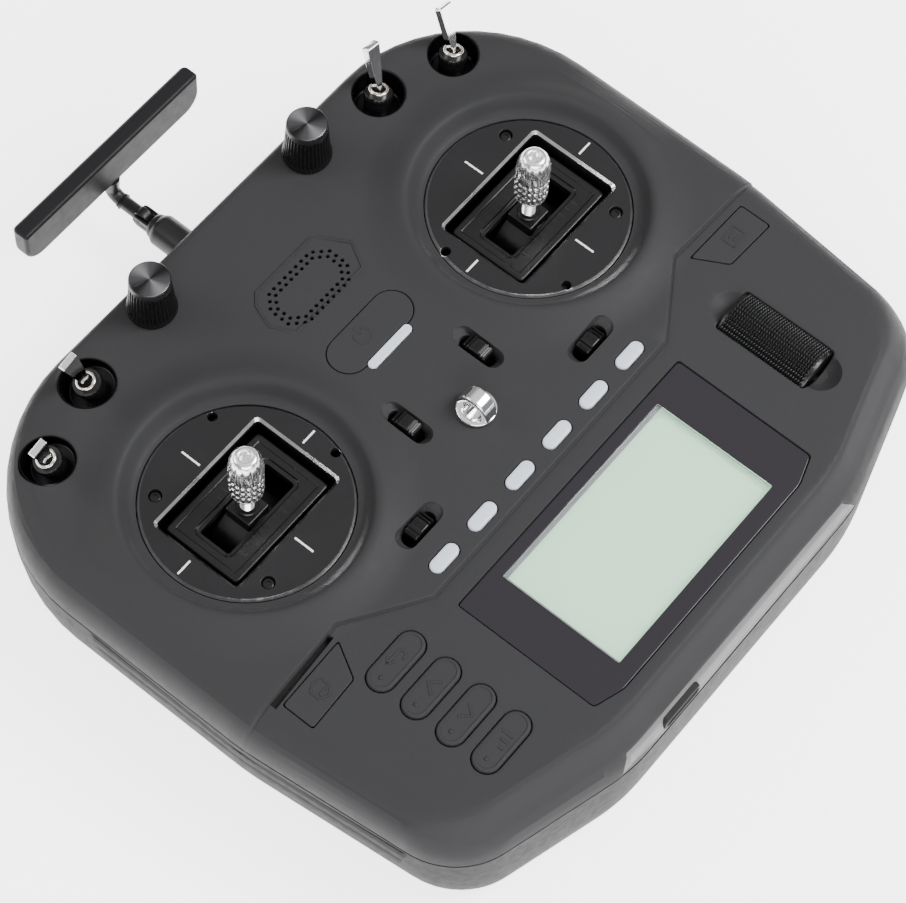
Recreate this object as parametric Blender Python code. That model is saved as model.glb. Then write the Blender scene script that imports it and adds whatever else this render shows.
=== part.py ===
"""Handheld radio transmitter controller: two spring-return sticks, toggle switches, dials, keys and a screen.

Millimetres are used for every length and turned into metres when a mesh is made. X points to the right,
Y to the back edge where the antenna is, and Z up. The case rests on its flat rear cover at Z = 0, and the
origin is on that cover, midway between the two sides.
"""

from math import atan2, cos, pi, radians, sin, tan

import bmesh
import bpy
from mathutils import Matrix, Vector

MM = 0.001
GAP = 0.3

# Case
SEAM_Z = 31.8
SHELL_BOTTOM_Z = SEAM_Z + GAP
FACE_Z = 46.8
LOWER_FACE_Z = 45.9
CEILING_Z = 43.2
TOP_WALL = 2.5
LOWER_WALL = 4.0
FLOOR = 2.5
SIDE_X = 117.5
WAIST_X = 117.2
WAIST_Y = -15.0
REAR_Y = 101.0
FRONT_Y = -101.0
FRONT_FLAT_X = 53.0
FRONT_CORNER = (109.6, -84.6)
REAR_RADIUS = 52.0
FRONT_RADIUS = 24.0

# Each level of a shell: height, then how far the sides, the front and the back draw in there.
TOP_LEVELS = (
    (SHELL_BOTTOM_Z, 0.0, 0.0, 0.0),
    (36.8, 0.4, 1.5, 0.2),
    (41.5, 1.9, 5.4, 0.8),
    (44.6, 4.6, 7.9, 1.8),
    (46.2, 8.0, 9.3, 3.1),
    (FACE_Z, 11.0, 10.6, 4.6),
)
BOTTOM_LEVELS = (
    (0.0, 9.0, 5.0, 7.5),
    (3.0, 5.5, 2.0, 4.0),
    (10.0, 2.4, 0.6, 1.4),
    (20.0, 0.8, 0.1, 0.3),
    (SEAM_Z, 0.0, 0.0, 0.0),
)

# Sticks
GIMBAL_X = 63.6
GIMBAL_Y = 28.9
PIVOT_Z = 26.0
PLATE_RADIUS = 30.8
PLATE_TOP_Z = 45.3
PLATE_BOTTOM_Z = 43.1
WINDOW = (43.6, 30.0)
CRADLE = (40.6, 27.0)
CRADLE_TOP_Z = 42.0
SLOT = (31.0, 11.0)
DOME_RADIUS = 13.2
STICK_TOP_Z = 72.9

# Controls on the face
FUNCTION_KEYS_X = tuple(8.45 * k for k in (-5, -3, -1, 1, 3, 5))
FUNCTION_KEYS_Y = -24.8
FUNCTION_KEY = (10.6, 4.4)
PAGE_KEYS_X = -74.7
PAGE_KEYS_Y = (-34.2, -46.5, -58.8, -71.1)
PAGE_KEY = (21.0, 8.4)
POWER_Y = 37.0
POWER_KEY = (32.0, 12.6)
LIGHT_BAR_Y = 29.6
LIGHT_BAR = (18.2, 3.0)
KEY_TRAVEL_ROOM = 1.0
SIDE_KEY = ((-104.2, -19.0), (-104.2, -29.4), (-86.2, -28.6), (-80.4, -18.4))
TRIM_SLOT = (17.5, 6.6)
TRIM_HOLE = (12.4, 5.4)
TRIM_RADIUS = 8.2
TRIM_AXIS_Z = 39.9
TRIMS = {
    "left_vertical_trim": (-16.1, 10.1, True),
    "right_vertical_trim": (16.1, 10.1, True),
    "left_horizontal_trim": (-39.0, -13.1, False),
    "right_horizontal_trim": (39.0, -13.1, False),
}
WHEEL = (74.2, -53.6)
WHEEL_LENGTH = 31.0
WHEEL_RADIUS = 10.6
WHEEL_AXIS_Z = 38.9
SCREEN = ((-50.4, -36.5), (-50.2, -83.8), (-40.8, -86.8), (40.8, -86.8), (50.2, -83.8), (50.4, -36.5))
LENS_TOP_Z = 45.6
LENS_THICKNESS = 1.4
DISPLAY = (37.4, -82.6, -38.9)
DIALS_X = 34.5
DIALS_Y = 89.9
SPEAKER_Y = 60.0
EYELET_Y = -2.3

# Toggle switches: centre of the well on the face, well radius, lever lean from its own axis (negative: back).
TOGGLE_TILT_OUT = 15.0
TOGGLE_TILT_BACK = 8.0
WELL_DEPTH = 5.0
LEVER_PIVOT = 5.0
TOGGLES = {
    "left_outer": (-90.4, 79.5, 7.6, 14.0),
    "left_inner": (-64.9, 87.6, 7.9, 0.0),
    "right_inner": (64.9, 87.6, 7.9, -16.0),
    "right_outer": (90.4, 79.5, 7.6, -20.0),
}

# Antenna
BARREL_Z = 16.5
BARREL_RADIUS = 5.2
KNUCKLE_Y = 125.5
ARM_RADIUS = 2.3
ARM_BEND_Y = 130.5
BAR_LENGTH = 76.6
BAR_DEPTH = 6.4
BAR_Y = 139.3
BAR_BOTTOM_Z = 24.9
BAR_TOP_Z = 39.8

# Front strip, side grips and rear doors
STRIP = (-58.0, 53.0, 38.1)
PORT_X = (-38.5, -22.4)
PORT_Z = (32.8, 37.4)
GRIP_Y = (-69.0, 41.0)
GRIP_Z = (4.5, 29.0)
GRIP_THICKNESS = 1.8
BATTERY_DOOR = (40.0, -83.0, -17.0)
MODULE_DOOR = (31.0, 17.0, 83.0)
DOOR_THICKNESS = 2.2


# ---------------------------------------------------------------- outlines


def arc(centre, radius, start, end, steps):
    """Points on an arc, angles in degrees."""
    points = []
    for k in range(steps + 1):
        a = radians(start + (end - start) * k / steps)
        points.append((centre[0] + radius * cos(a), centre[1] + radius * sin(a)))
    return points


def circle(centre, radius, steps):
    return arc(centre, radius, 0, 360, steps)[:-1]


def pill(centre, length, width, upright=False, steps=8):
    """A slot outline with round ends, its long side along X, or along Y when upright."""
    reach = (length - width) / 2
    points = arc((reach, 0), width / 2, -90, 90, steps) + arc((-reach, 0), width / 2, 90, 270, steps)
    if upright:
        points = [(-y, x) for x, y in points]
    return [(centre[0] + x, centre[1] + y) for x, y in points]


def rectangle(x0, x1, y0, y1):
    return [(x0, y0), (x1, y0), (x1, y1), (x0, y1)]


def round_rectangle(centre, width, height, radius, steps=4):
    return fillet(
        rectangle(
            centre[0] - width / 2,
            centre[0] + width / 2,
            centre[1] - height / 2,
            centre[1] + height / 2,
        ),
        [radius] * 4,
        steps,
    )


def draw_in(points, distances):
    """Moves each edge of a counter-clockwise polygon inwards by its own distance."""
    lines = []
    for k, p in enumerate(points):
        a, b = Vector(p), Vector(points[(k + 1) % len(points)])
        along = (b - a).normalized()
        lines.append((a + Vector((-along.y, along.x)) * distances[k], along))
    moved = []
    for k in range(len(points)):
        (p, d), (q, e) = lines[k - 1], lines[k]
        cross = d.x * e.y - d.y * e.x
        t = ((q.x - p.x) * e.y - (q.y - p.y) * e.x) / cross
        moved.append(tuple(p + d * t))
    return moved


def fillet(points, radii, steps):
    """Rounds each corner of a counter-clockwise convex polygon."""
    outline = []
    for k, radius in enumerate(radii):
        corner = Vector(points[k])
        before = (Vector(points[k - 1]) - corner).normalized()
        after = (Vector(points[(k + 1) % len(points)]) - corner).normalized()
        half = before.angle(after) / 2
        centre = corner + (before + after).normalized() * (radius / sin(half))
        start = corner + before * (radius / tan(half)) - centre
        turn = pi - 2 * half
        first = atan2(start.y, start.x)
        for s in range(steps + 1):
            a = first + turn * s / steps
            outline.append((centre.x + radius * cos(a), centre.y + radius * sin(a)))
    return outline


def case_outline(side, front, rear):
    """The case seen from above, with its sides, front and back drawn in by these distances."""
    fx, fy = FRONT_CORNER
    corners = [
        (-FRONT_FLAT_X, FRONT_Y),
        (FRONT_FLAT_X, FRONT_Y),
        (fx, fy),
        (WAIST_X, WAIST_Y),
        (SIDE_X, REAR_Y),
        (-SIDE_X, REAR_Y),
        (-WAIST_X, WAIST_Y),
        (-fx, fy),
    ]
    distances = [front, front, side, side, rear, side, side, front]
    front_radius = FRONT_RADIUS - (front + side) / 4
    rear_radius = REAR_RADIUS - (rear + side) / 2
    radii = [60, 60, front_radius, 100, rear_radius, rear_radius, 100, front_radius]
    return fillet(draw_in(corners, distances), radii, 6)


def case_rings(levels, extra=0.0):
    return [
        [(x, y, z) for x, y in case_outline(side + extra, front + extra, rear + extra)]
        for z, side, front, rear in levels
    ]


# ---------------------------------------------------------------- solids


class Shape:
    """Collects closed bodies in one bmesh, and turns them into an object."""

    def __init__(self):
        self.bm = bmesh.new()

    def loft(self, rings):
        """A closed body through rings of equal length, lowest first, each counter-clockwise."""
        rows = [[self.bm.verts.new(p) for p in ring] for ring in rings]
        for lower, upper in zip(rows, rows[1:]):
            for k in range(len(lower)):
                n = (k + 1) % len(lower)
                self.bm.faces.new((lower[k], lower[n], upper[n], upper[k]))
        self.bm.faces.new(reversed(rows[0]))
        self.bm.faces.new(rows[-1])
        return self

    def prism(self, outline, z0, z1):
        return self.loft([[(x, y, z) for x, y in outline] for z in (z0, z1)])

    def box(self, x0, x1, y0, y1, z0, z1):
        return self.prism(rectangle(x0, x1, y0, y1), z0, z1)

    def turned(self, profile, steps, place=Matrix.Identity(4)):
        """A body of revolution about local Z from (radius, height) pairs that run up its outside."""
        rings = []
        for radius, z in profile:
            rings.append([place @ Vector((x, y, z)) for x, y in circle((0, 0), radius, steps)])
        return self.loft(rings)

    def collar(self, profile, steps, place):
        """A turned ring about local Z from a closed (radius, height) profile, counter-clockwise."""
        rows = []
        for radius, z in profile:
            points = [place @ Vector((x, y, z)) for x, y in circle((0, 0), radius, steps)]
            rows.append([self.bm.verts.new(p) for p in points])
        for lower, upper in zip(rows, rows[1:] + rows[:1]):
            for k in range(steps):
                n = (k + 1) % steps
                self.bm.faces.new((lower[k], lower[n], upper[n], upper[k]))
        return self

    def tube(self, path, radii, steps):
        """A round body along a path of points in the plane X = 0."""
        rings = []
        for k, p in enumerate(path):
            a, b = Vector(path[max(k - 1, 0)]), Vector(path[min(k + 1, len(path) - 1)])
            along = (b - a).normalized()
            side = Vector((1, 0, 0))
            up = along.cross(side)
            ring = []
            for x, y in circle((0, 0), radii[k], steps):
                ring.append(Vector(p) + side * x + up * y)
            rings.append(ring)
        return self.loft(rings)

    def place(self, matrix):
        bmesh.ops.transform(self.bm, matrix=matrix, verts=self.bm.verts)
        return self

    def make(self, name, material=None, sharp=radians(35), origin=(0, 0, 0)):
        bmesh.ops.recalc_face_normals(self.bm, faces=self.bm.faces)
        bmesh.ops.translate(self.bm, vec=-Vector(origin), verts=self.bm.verts)
        bmesh.ops.scale(self.bm, vec=(MM, MM, MM), verts=self.bm.verts)
        mesh = bpy.data.meshes.new(name)
        self.bm.to_mesh(mesh)
        self.bm.free()
        mesh.shade_smooth()
        mesh.set_sharp_from_angle(angle=sharp)
        thing = bpy.data.objects.new(name, mesh)
        thing.location = Vector(origin) * MM
        bpy.context.scene.collection.objects.link(thing)
        if material:
            mesh.materials.append(material)
        else:
            thing.hide_render = True
            thing.display_type = "WIRE"
        return thing


def combine(target, tool, operation="DIFFERENCE"):
    modifier = target.modifiers.new(tool.name, "BOOLEAN")
    modifier.operation = operation
    modifier.solver = "EXACT"
    modifier.object = tool
    return target


def paint(name, colour, roughness, metallic=0.0):
    material = bpy.data.materials.new(name)
    material.use_nodes = True
    shader = material.node_tree.nodes["Principled BSDF"]
    shader.inputs["Base Color"].default_value = (*colour, 1)
    shader.inputs["Roughness"].default_value = roughness
    shader.inputs["Metallic"].default_value = metallic
    return material


def make_materials():
    return {
        "case": paint("case_plastic", (0.068, 0.068, 0.072), 0.6),
        "grip": paint("grip_rubber", (0.05, 0.05, 0.052), 0.75),
        "strip": paint("strip_plastic", (0.09, 0.09, 0.092), 0.7),
        "black": paint("black_plastic", (0.012, 0.012, 0.013), 0.4),
        "plate": paint("black_anodised", (0.03, 0.03, 0.033), 0.35, 0.6),
        "chrome": paint("chrome", (0.85, 0.85, 0.86), 0.12, 1.0),
        "alloy": paint("stick_alloy", (0.8, 0.8, 0.79), 0.25, 1.0),
        "lens": paint("screen_lens", (0.04, 0.036, 0.042), 0.15),
        "display": paint("display", (0.56, 0.66, 0.58), 0.3),
        "light": paint("light_key", (0.55, 0.58, 0.64), 0.35),
        "board": paint("circuit_board", (0.02, 0.12, 0.05), 0.5),
        "cell": paint("battery_wrap", (0.02, 0.08, 0.25), 0.45),
    }


# ---------------------------------------------------------------- case


def gimbal_ring(shape, x):
    """The soft raised ring around a stick, with a hollow slope down to the stick's plate."""
    outside = ((47.5, 43.8), (47.5, 45.1), (44.5, 47.0), (42.0, 48.6), (40.0, 49.5))
    inside = ((38.4, 49.6), (37.0, 49.0), (35.0, 47.0), (33.0, 45.4), (31.2, 44.7), (31.2, 43.8))
    shape.collar(outside + inside, 36, Matrix.Translation((x, GIMBAL_Y, 0)))


def toggle_frame(name):
    """Local frame of a toggle switch: origin on the floor of its well, Z along its bush."""
    x, y, _, _ = TOGGLES[name]
    out = radians(TOGGLE_TILT_OUT) * (1 if x > 0 else -1)
    turn = Matrix.Rotation(out, 4, "Y") @ Matrix.Rotation(-radians(TOGGLE_TILT_BACK), 4, "X")
    return Matrix.Translation((x, y, FACE_Z)) @ turn @ Matrix.Translation((0, 0, -WELL_DEPTH))


def face_openings():
    """Every hole through the face that holds a key, a switch, a dial or the screen."""
    holes = Shape()
    for x in FUNCTION_KEYS_X:
        holes.prism(pill((x, FUNCTION_KEYS_Y), FUNCTION_KEY[0] + 2 * GAP, FUNCTION_KEY[1] + 2 * GAP), 40, 52)
    for y in PAGE_KEYS_Y:
        holes.prism(pill((PAGE_KEYS_X, y), PAGE_KEY[0] + 2 * GAP, PAGE_KEY[1] + 2 * GAP), 40, 52)
    holes.prism(pill((0, POWER_Y), POWER_KEY[0] + 2 * GAP, POWER_KEY[1] + 2 * GAP), 40, 52)
    for mirror in (1, -1):
        holes.prism(side_key_outline(mirror, -GAP), 40, 52)
        holes.turned(((3.5, 40), (3.5, 52)), 20, Matrix.Translation((mirror * DIALS_X, DIALS_Y, 0)))
    half, y0, y1 = DISPLAY
    holes.box(-half, half, y0, y1, 40, 52)
    for x, y, upright in TRIMS.values():
        holes.prism(pill((x, y), TRIM_HOLE[0], TRIM_HOLE[1], upright), 40, 52)
    reach = WHEEL_LENGTH / 2 + 0.5
    room = WHEEL_RADIUS + 0.6
    holes.turned(((room, -reach), (room, reach)), 40, wheel_frame())
    return holes.make("cut_face_openings")


def wheel_frame():
    """Local frame of the scroll wheel, with Z along its axle."""
    return Matrix.Translation((*WHEEL, WHEEL_AXIS_Z)) @ Matrix.Rotation(-pi / 2, 4, "X")


def light_bar_opening():
    width, height = LIGHT_BAR[0] + 2 * GAP, LIGHT_BAR[1] + 2 * GAP
    return Shape().prism(pill((0, LIGHT_BAR_Y), width, height), 38, 52).make("cut_light_bar")


def face_recesses():
    """Shallow pockets in the face: the screen's seat and the scoops around the trims."""
    pockets = Shape()
    pockets.prism(draw_in(SCREEN, [-GAP] * 6), LENS_TOP_Z - LENS_THICKNESS - GAP, 52)
    for x, y, upright in TRIMS.values():
        pockets.prism(pill((x, y), TRIM_SLOT[0], TRIM_SLOT[1], upright), FACE_Z - 2.2, 52)
    return pockets.make("cut_face_recesses")


def lower_face():
    """The front part of the face lies a little lower, along a stepped line."""
    step = [(-130, -16.5), (-77, -14.8), (-53, -30.0), (53, -30.0), (77, -14.8), (130, -16.5)]
    outline = [(-130, -120), (130, -120)] + step[::-1]
    return Shape().prism(outline, LOWER_FACE_Z, 55).make("cut_lower_face")


def toggle_bosses():
    bosses = Shape()
    for name, (_, _, radius, _) in TOGGLES.items():
        bosses.turned(((radius + 1.6, -1.5), (radius + 1.6, 14)), 24, toggle_frame(name))
    return bosses.make("keep_toggle_bosses")


def toggle_wells():
    wells = Shape()
    for name, (_, _, radius, _) in TOGGLES.items():
        profile = ((3.3, -4), (3.3, -0.0), (radius, 0.0), (radius, 14))
        wells.turned(profile, 24, toggle_frame(name))
    return wells.make("cut_toggle_wells")


def make_top_shell(material):
    shell = Shape().loft(case_rings(TOP_LEVELS)).make("top_shell", material)
    combine(shell, lower_face())
    levels = (
        (SHELL_BOTTOM_Z - 2, 0.0, 0.0, 0.0),
        (37.0, 0.6, 1.7, 0.2),
        (CEILING_Z, 4.6, 6.6, 0.8),
    )
    cavity = Shape().loft(case_rings(levels, TOP_WALL)).make("cut_top_cavity")
    combine(cavity, toggle_bosses())
    combine(shell, cavity)
    rings, holes = Shape(), Shape()
    for x in (-GIMBAL_X, GIMBAL_X):
        gimbal_ring(rings, x)
        holes.turned(((41.1, 30), (41.1, 60)), 32, Matrix.Translation((x, GIMBAL_Y, 0)))
    combine(shell, holes.make("cut_gimbal_holes"))
    combine(shell, rings.make("add_gimbal_rings"), "UNION")
    combine(shell, toggle_wells())
    combine(shell, face_recesses())
    combine(shell, face_openings())
    combine(shell, light_bar_opening())
    x0, x1, top = STRIP
    strip_seat = Shape().box(x0 - GAP, x1 + GAP, -110, -94, 30, top + GAP)
    combine(shell, strip_seat.make("cut_strip_seat"))
    return shell


def grip_blank(side, grow, levels_extra, name, material=None):
    """A slice of the case's side wall, from its outer surface inwards."""
    y0, y1 = GRIP_Y
    z0, z1 = GRIP_Z
    xs = sorted((side * 96.0, side * 126.0))
    blank = Shape().box(*xs, y0 - grow, y1 + grow, z0 - grow, z1 + grow).make(name, material)
    levels = ((-8.0, 9.0, 5.0, 7.5),) + BOTTOM_LEVELS[1:-1] + ((SEAM_Z + 8, 0.0, 0.0, 0.0),)
    core = Shape().loft(case_rings(levels, levels_extra)).make("core_of_" + name)
    return combine(blank, core)


def make_bottom_shell(material):
    shell = Shape().loft(case_rings(BOTTOM_LEVELS)).make("bottom_shell", material)
    levels = (
        (FLOOR, 7.5, 4.0, 5.5),
        (10.0, 2.4, 0.6, 1.4),
        (20.0, 0.8, 0.1, 0.3),
        (SEAM_Z + 2, 0.0, 0.0, 0.0),
    )
    combine(shell, Shape().loft(case_rings(levels, LOWER_WALL)).make("cut_bottom_cavity"))
    openings = Shape()
    for half, y0, y1 in (BATTERY_DOOR, MODULE_DOOR):
        openings.box(-half - GAP, half + GAP, y0 - GAP, y1 + GAP, -5, 8)
    along_y = Matrix.Translation((0, 0, BARREL_Z)) @ Matrix.Rotation(-pi / 2, 4, "X")
    openings.turned(((BARREL_RADIUS + GAP, 90), (BARREL_RADIUS + GAP, 110)), 20, along_y)
    combine(shell, openings.make("cut_bottom_openings"))
    for side, word in ((-1, "left"), (1, "right")):
        pocket = grip_blank(side, GAP, GRIP_THICKNESS + GAP, "cut_" + word + "_grip_seat")
        combine(shell, pocket)
    return shell


def make_side_grips(material):
    outer = Shape().loft(case_rings(BOTTOM_LEVELS)).make("limit_of_grips")
    for side, word in ((-1, "left"), (1, "right")):
        grip = grip_blank(side, 0, GRIP_THICKNESS, word + "_side_grip", material)
        combine(grip, outer, "INTERSECT")


def make_front_strip(material):
    x0, x1, top = STRIP
    strip = Shape().box(x0, x1, -110, -80, SHELL_BOTTOM_Z, top).make("front_strip", material)
    levels = ((SHELL_BOTTOM_Z - 6, 0.0, 0.0, 0.0),) + TOP_LEVELS[1:]
    below = ((SHELL_BOTTOM_Z - 6, 0.0, 0.0, 0.0), (SHELL_BOTTOM_Z, 0.0, 0.0, 0.0)) + TOP_LEVELS[1:]
    combine(strip, Shape().loft(case_rings(below)).make("limit_of_strip"), "INTERSECT")
    combine(strip, Shape().loft(case_rings(levels, 2.4)).make("core_of_strip"))
    centre_x = sum(PORT_X) / 2
    height = PORT_Z[1] - PORT_Z[0]
    port = Shape().prism(round_rectangle((0, 0), PORT_X[1] - PORT_X[0], height, 1.6), -20, 20)
    port.place(Matrix.Translation((centre_x, FRONT_Y, sum(PORT_Z) / 2)) @ Matrix.Rotation(pi / 2, 4, "X"))
    combine(strip, port.make("cut_port"))


def make_doors(material):
    for name, (half, y0, y1), ridges in (
        ("battery_door", BATTERY_DOOR, (-62.0, -58.0, -54.0)),
        ("module_bay_cover", MODULE_DOOR, (72.0, 75.0, 78.0)),
    ):
        door = Shape().box(-half, half, y0, y1, 0, DOOR_THICKNESS).make(name, material)
        grooves = Shape()
        for y in ridges:
            grooves.box(-14, 14, y - 0.7, y + 0.7, -1, 0.8)
        combine(door, grooves.make("cut_grooves_" + name))


# ---------------------------------------------------------------- screen and inside


def make_screen(materials):
    bottom = LENS_TOP_Z - LENS_THICKNESS
    Shape().prism(SCREEN, bottom, LENS_TOP_Z).make("screen_lens", materials["lens"])
    half, y0, y1 = DISPLAY
    display = Shape().box(-half - 3, half + 3, y0 - 2.2, y1 + 1.8, 39.4, 42.9)
    display.make("display_panel", materials["display"])


def make_inside(materials):
    board = Shape().prism(
        [(-58, -88), (58, -88), (58, -12), (30, -12), (30, 84), (-30, 84), (-30, -12), (-58, -12)],
        33.0,
        34.6,
    )
    board.make("main_board", materials["board"])
    place = Matrix.Translation((0, SPEAKER_Y, 0))
    profile = ((8.0, 35.0), (8.0, 38.4), (13.5, 40.6), (13.5, CEILING_Z - GAP))
    Shape().turned(profile, 24, place).make("speaker", materials["black"])
    pack = Shape()
    pack.prism(round_rectangle((0, 0), 39.0, 20.0, 8.5, 5), -36.5, 36.5)
    pack.place(Matrix.Translation((0, -50, 12.9)) @ Matrix.Rotation(pi / 2, 4, "Y") @ Matrix.Rotation(pi / 2, 4, "Z"))
    pack.make("battery", materials["cell"])


# ---------------------------------------------------------------- sticks


def make_gimbal(side, word, materials):
    x = side * GIMBAL_X
    here = Matrix.Translation((x, GIMBAL_Y, 0))
    plate = Shape().turned(((PLATE_RADIUS, PLATE_BOTTOM_Z), (PLATE_RADIUS, PLATE_TOP_Z - 0.5),
                            (PLATE_RADIUS - 0.5, PLATE_TOP_Z)), 48, here)
    plate = plate.make(word + "_gimbal_plate", materials["plate"])
    holes = Shape().prism(round_rectangle((x, GIMBAL_Y), WINDOW[0], WINDOW[1], 1.5, 3), 40, 50)
    combine(plate, holes.make("cut_window_" + word))

    frame = Shape().box(x - 26.5, x + 26.5, GIMBAL_Y - 25, GIMBAL_Y + 25, 12.0, PLATE_BOTTOM_Z - GAP)
    frame = frame.make(word + "_gimbal_frame", materials["black"])
    inside = Shape().box(x - 23.2, x + 23.2, GIMBAL_Y - 22, GIMBAL_Y + 22, 8, 50)
    combine(frame, inside.make("cut_frame_" + word))
    across = Matrix.Translation((x, GIMBAL_Y, PIVOT_Z)) @ Matrix.Rotation(pi / 2, 4, "Y")
    bearing = Shape().turned(((2.8, -30), (2.8, 30)), 20, across)
    combine(frame, bearing.make("cut_bearing_" + word))
    make_cradle(x, word, across, materials["black"])
    make_stick(x, word, materials)


def make_cradle(x, word, across, material):
    """The outer rocker: it turns about X in the frame, and its slot guides the stick."""
    half_x, half_y = CRADLE[0] / 2, CRADLE[1] / 2
    blank = Shape().box(x - half_x, x + half_x, GIMBAL_Y - half_y, GIMBAL_Y + half_y, PIVOT_Z - 4, CRADLE_TOP_Z)
    cradle = blank.make(word + "_gimbal_cradle", material, origin=(x, GIMBAL_Y, PIVOT_Z))
    hollow = Shape()
    hollow.box(x - half_x + 2.6, x + half_x - 2.6, GIMBAL_Y - 20, GIMBAL_Y + 20, 10, CRADLE_TOP_Z - 5.2)
    combine(cradle, hollow.make("cut_cradle_legs_" + word))
    well = Shape().box(x - half_x + 2.6, x + half_x - 2.6, GIMBAL_Y - half_y + 1.5, GIMBAL_Y + half_y - 1.5,
                       30, CRADLE_TOP_Z - 2.4)
    combine(cradle, well.make("cut_cradle_well_" + word))
    cheeks = Shape()
    for way in (-1, 1):
        y = GIMBAL_Y + way * 8.0
        cheeks.box(x - 4.5, x + 4.5, y - 1.0, y + 1.0, PIVOT_Z - 4, CRADLE_TOP_Z - 1.6)
    combine(cradle, cheeks.make("add_cheeks_" + word), "UNION")
    slot = Shape().box(x - SLOT[0] / 2, x + SLOT[0] / 2, GIMBAL_Y - SLOT[1] / 2, GIMBAL_Y + SLOT[1] / 2, 35, 50)
    combine(cradle, slot.make("cut_slot_" + word))
    stubs = Shape()
    for ends in (((2.5, -26.4), (2.5, -19.0)), ((2.5, 19.0), (2.5, 26.4))):
        stubs.turned(ends, 20, across)
    combine(cradle, stubs.make("add_stubs_" + word), "UNION")
    pin = Matrix.Translation((x, GIMBAL_Y, PIVOT_Z)) @ Matrix.Rotation(-pi / 2, 4, "X")
    combine(cradle, Shape().turned(((2.3, -15), (2.3, 15)), 16, pin).make("cut_pin_" + word))


def make_stick(x, word, materials):
    """The stick turns about Y inside the cradle; its round dome closes the slot as it leans."""
    across = Matrix.Translation((x, GIMBAL_Y, PIVOT_Z)) @ Matrix.Rotation(-pi / 2, 4, "X")
    dome = Shape().turned(((DOME_RADIUS, -5.0), (DOME_RADIUS, 5.0)), 40, across)
    dome = dome.make(word + "_stick", materials["black"], origin=(x, GIMBAL_Y, PIVOT_Z))
    lower = Shape().box(x - 20, x + 20, GIMBAL_Y - 10, GIMBAL_Y + 10, 5, PIVOT_Z - 3)
    combine(dome, lower.make("cut_dome_" + word))
    block = Shape().box(x - 4.6, x + 4.6, GIMBAL_Y - 4.6, GIMBAL_Y + 4.6, 34, CRADLE_TOP_Z + 0.4)
    combine(dome, block.make("add_block_" + word), "UNION")
    pin = Shape().turned(((2.0, -8.9), (2.0, 8.9)), 16, across)
    combine(dome, pin.make("add_pin_" + word), "UNION")
    place = Matrix.Translation((x, GIMBAL_Y, 0))
    rod = Shape().turned(((2.1, 36), (2.1, 68)), 16, place)
    combine(dome, rod.make("add_rod_" + word), "UNION")
    end = Shape().turned(((4.0, 52.4), (5.2, 53.6), (5.2, 67.4), (4.6, 70.3), (3.1, STICK_TOP_Z)), 24, place)
    end = end.make(word + "_stick_end", materials["alloy"])
    combine(end, Shape().turned(((2.4, 46), (2.4, 68.6)), 16, place).make("cut_stick_end_" + word))


# ---------------------------------------------------------------- switches and dials


def make_toggle(name, materials):
    frame = toggle_frame(name)
    lean = TOGGLES[name][3]
    body = Shape().box(-6.4, 6.4, -4.0, 4.0, -12.5, -1.9).place(frame)
    body = body.make(name + "_switch_body", materials["chrome"])
    collar = ((3.0, -3.0), (3.0, 0.4), (4.1, 0.4), (4.1, 3.6))
    nut = ((4.5, 3.6), (4.5, 5.4), (3.2, 5.4), (3.2, 6.4))
    bush = Shape().turned(collar + nut, 20, frame)
    combine(body, bush.make("add_bush_" + name), "UNION")
    mouth = Shape().turned(((1.8, 3.4), (2.4, 5.8), (2.9, 7.7)), 16, frame)
    combine(body, mouth.make("cut_mouth_" + name))
    pivot = frame @ Vector((0, 0, LEVER_PIVOT))
    turn = frame @ Matrix.Translation((0, 0, LEVER_PIVOT)) @ Matrix.Rotation(radians(lean), 4, "X")
    rings = []
    for z, width, depth in ((-1.0, 0.8, 0.8), (0.6, 1.1, 1.1), (4.0, 1.6, 1.2), (15.6, 2.8, 1.1), (16.6, 2.5, 0.8)):
        rings.append([Vector((w * width, d * depth, z)) for w, d in octagon()])
    lever = Shape().loft(rings).place(turn)
    lever.make(name + "_switch_lever", materials["chrome"], origin=pivot)


def octagon():
    """A unit square with cut corners."""
    c = 0.6
    return [(-c, -1), (c, -1), (1, -c), (1, c), (c, 1), (-c, 1), (-1, c), (-1, -c)]


def make_dial(side, word, materials):
    place = Matrix.Translation((side * DIALS_X, DIALS_Y, 0))
    top = CEILING_Z - GAP
    body = Shape().turned(((7.0, 34.0), (7.0, top), (3.0, top), (3.0, 58.0)), 24, place)
    body.make(word + "_dial_body", materials["plate"])
    knob = Shape().turned(((7.6, 47.6), (7.6, 50.0), (7.2, 51.0), (6.3, 61.6), (5.9, 63.0)), 32, place)
    knob = knob.make(word + "_dial_knob", materials["black"])
    combine(knob, Shape().turned(((3.3, 45), (3.3, 58.6)), 20, place).make("cut_knob_bore_" + word))
    pointer = Shape().box(side * DIALS_X - 0.4, side * DIALS_X + 0.4, DIALS_Y + 1.5, DIALS_Y + 8, 62.5, 65)
    combine(knob, pointer.make("cut_pointer_" + word))


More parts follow.
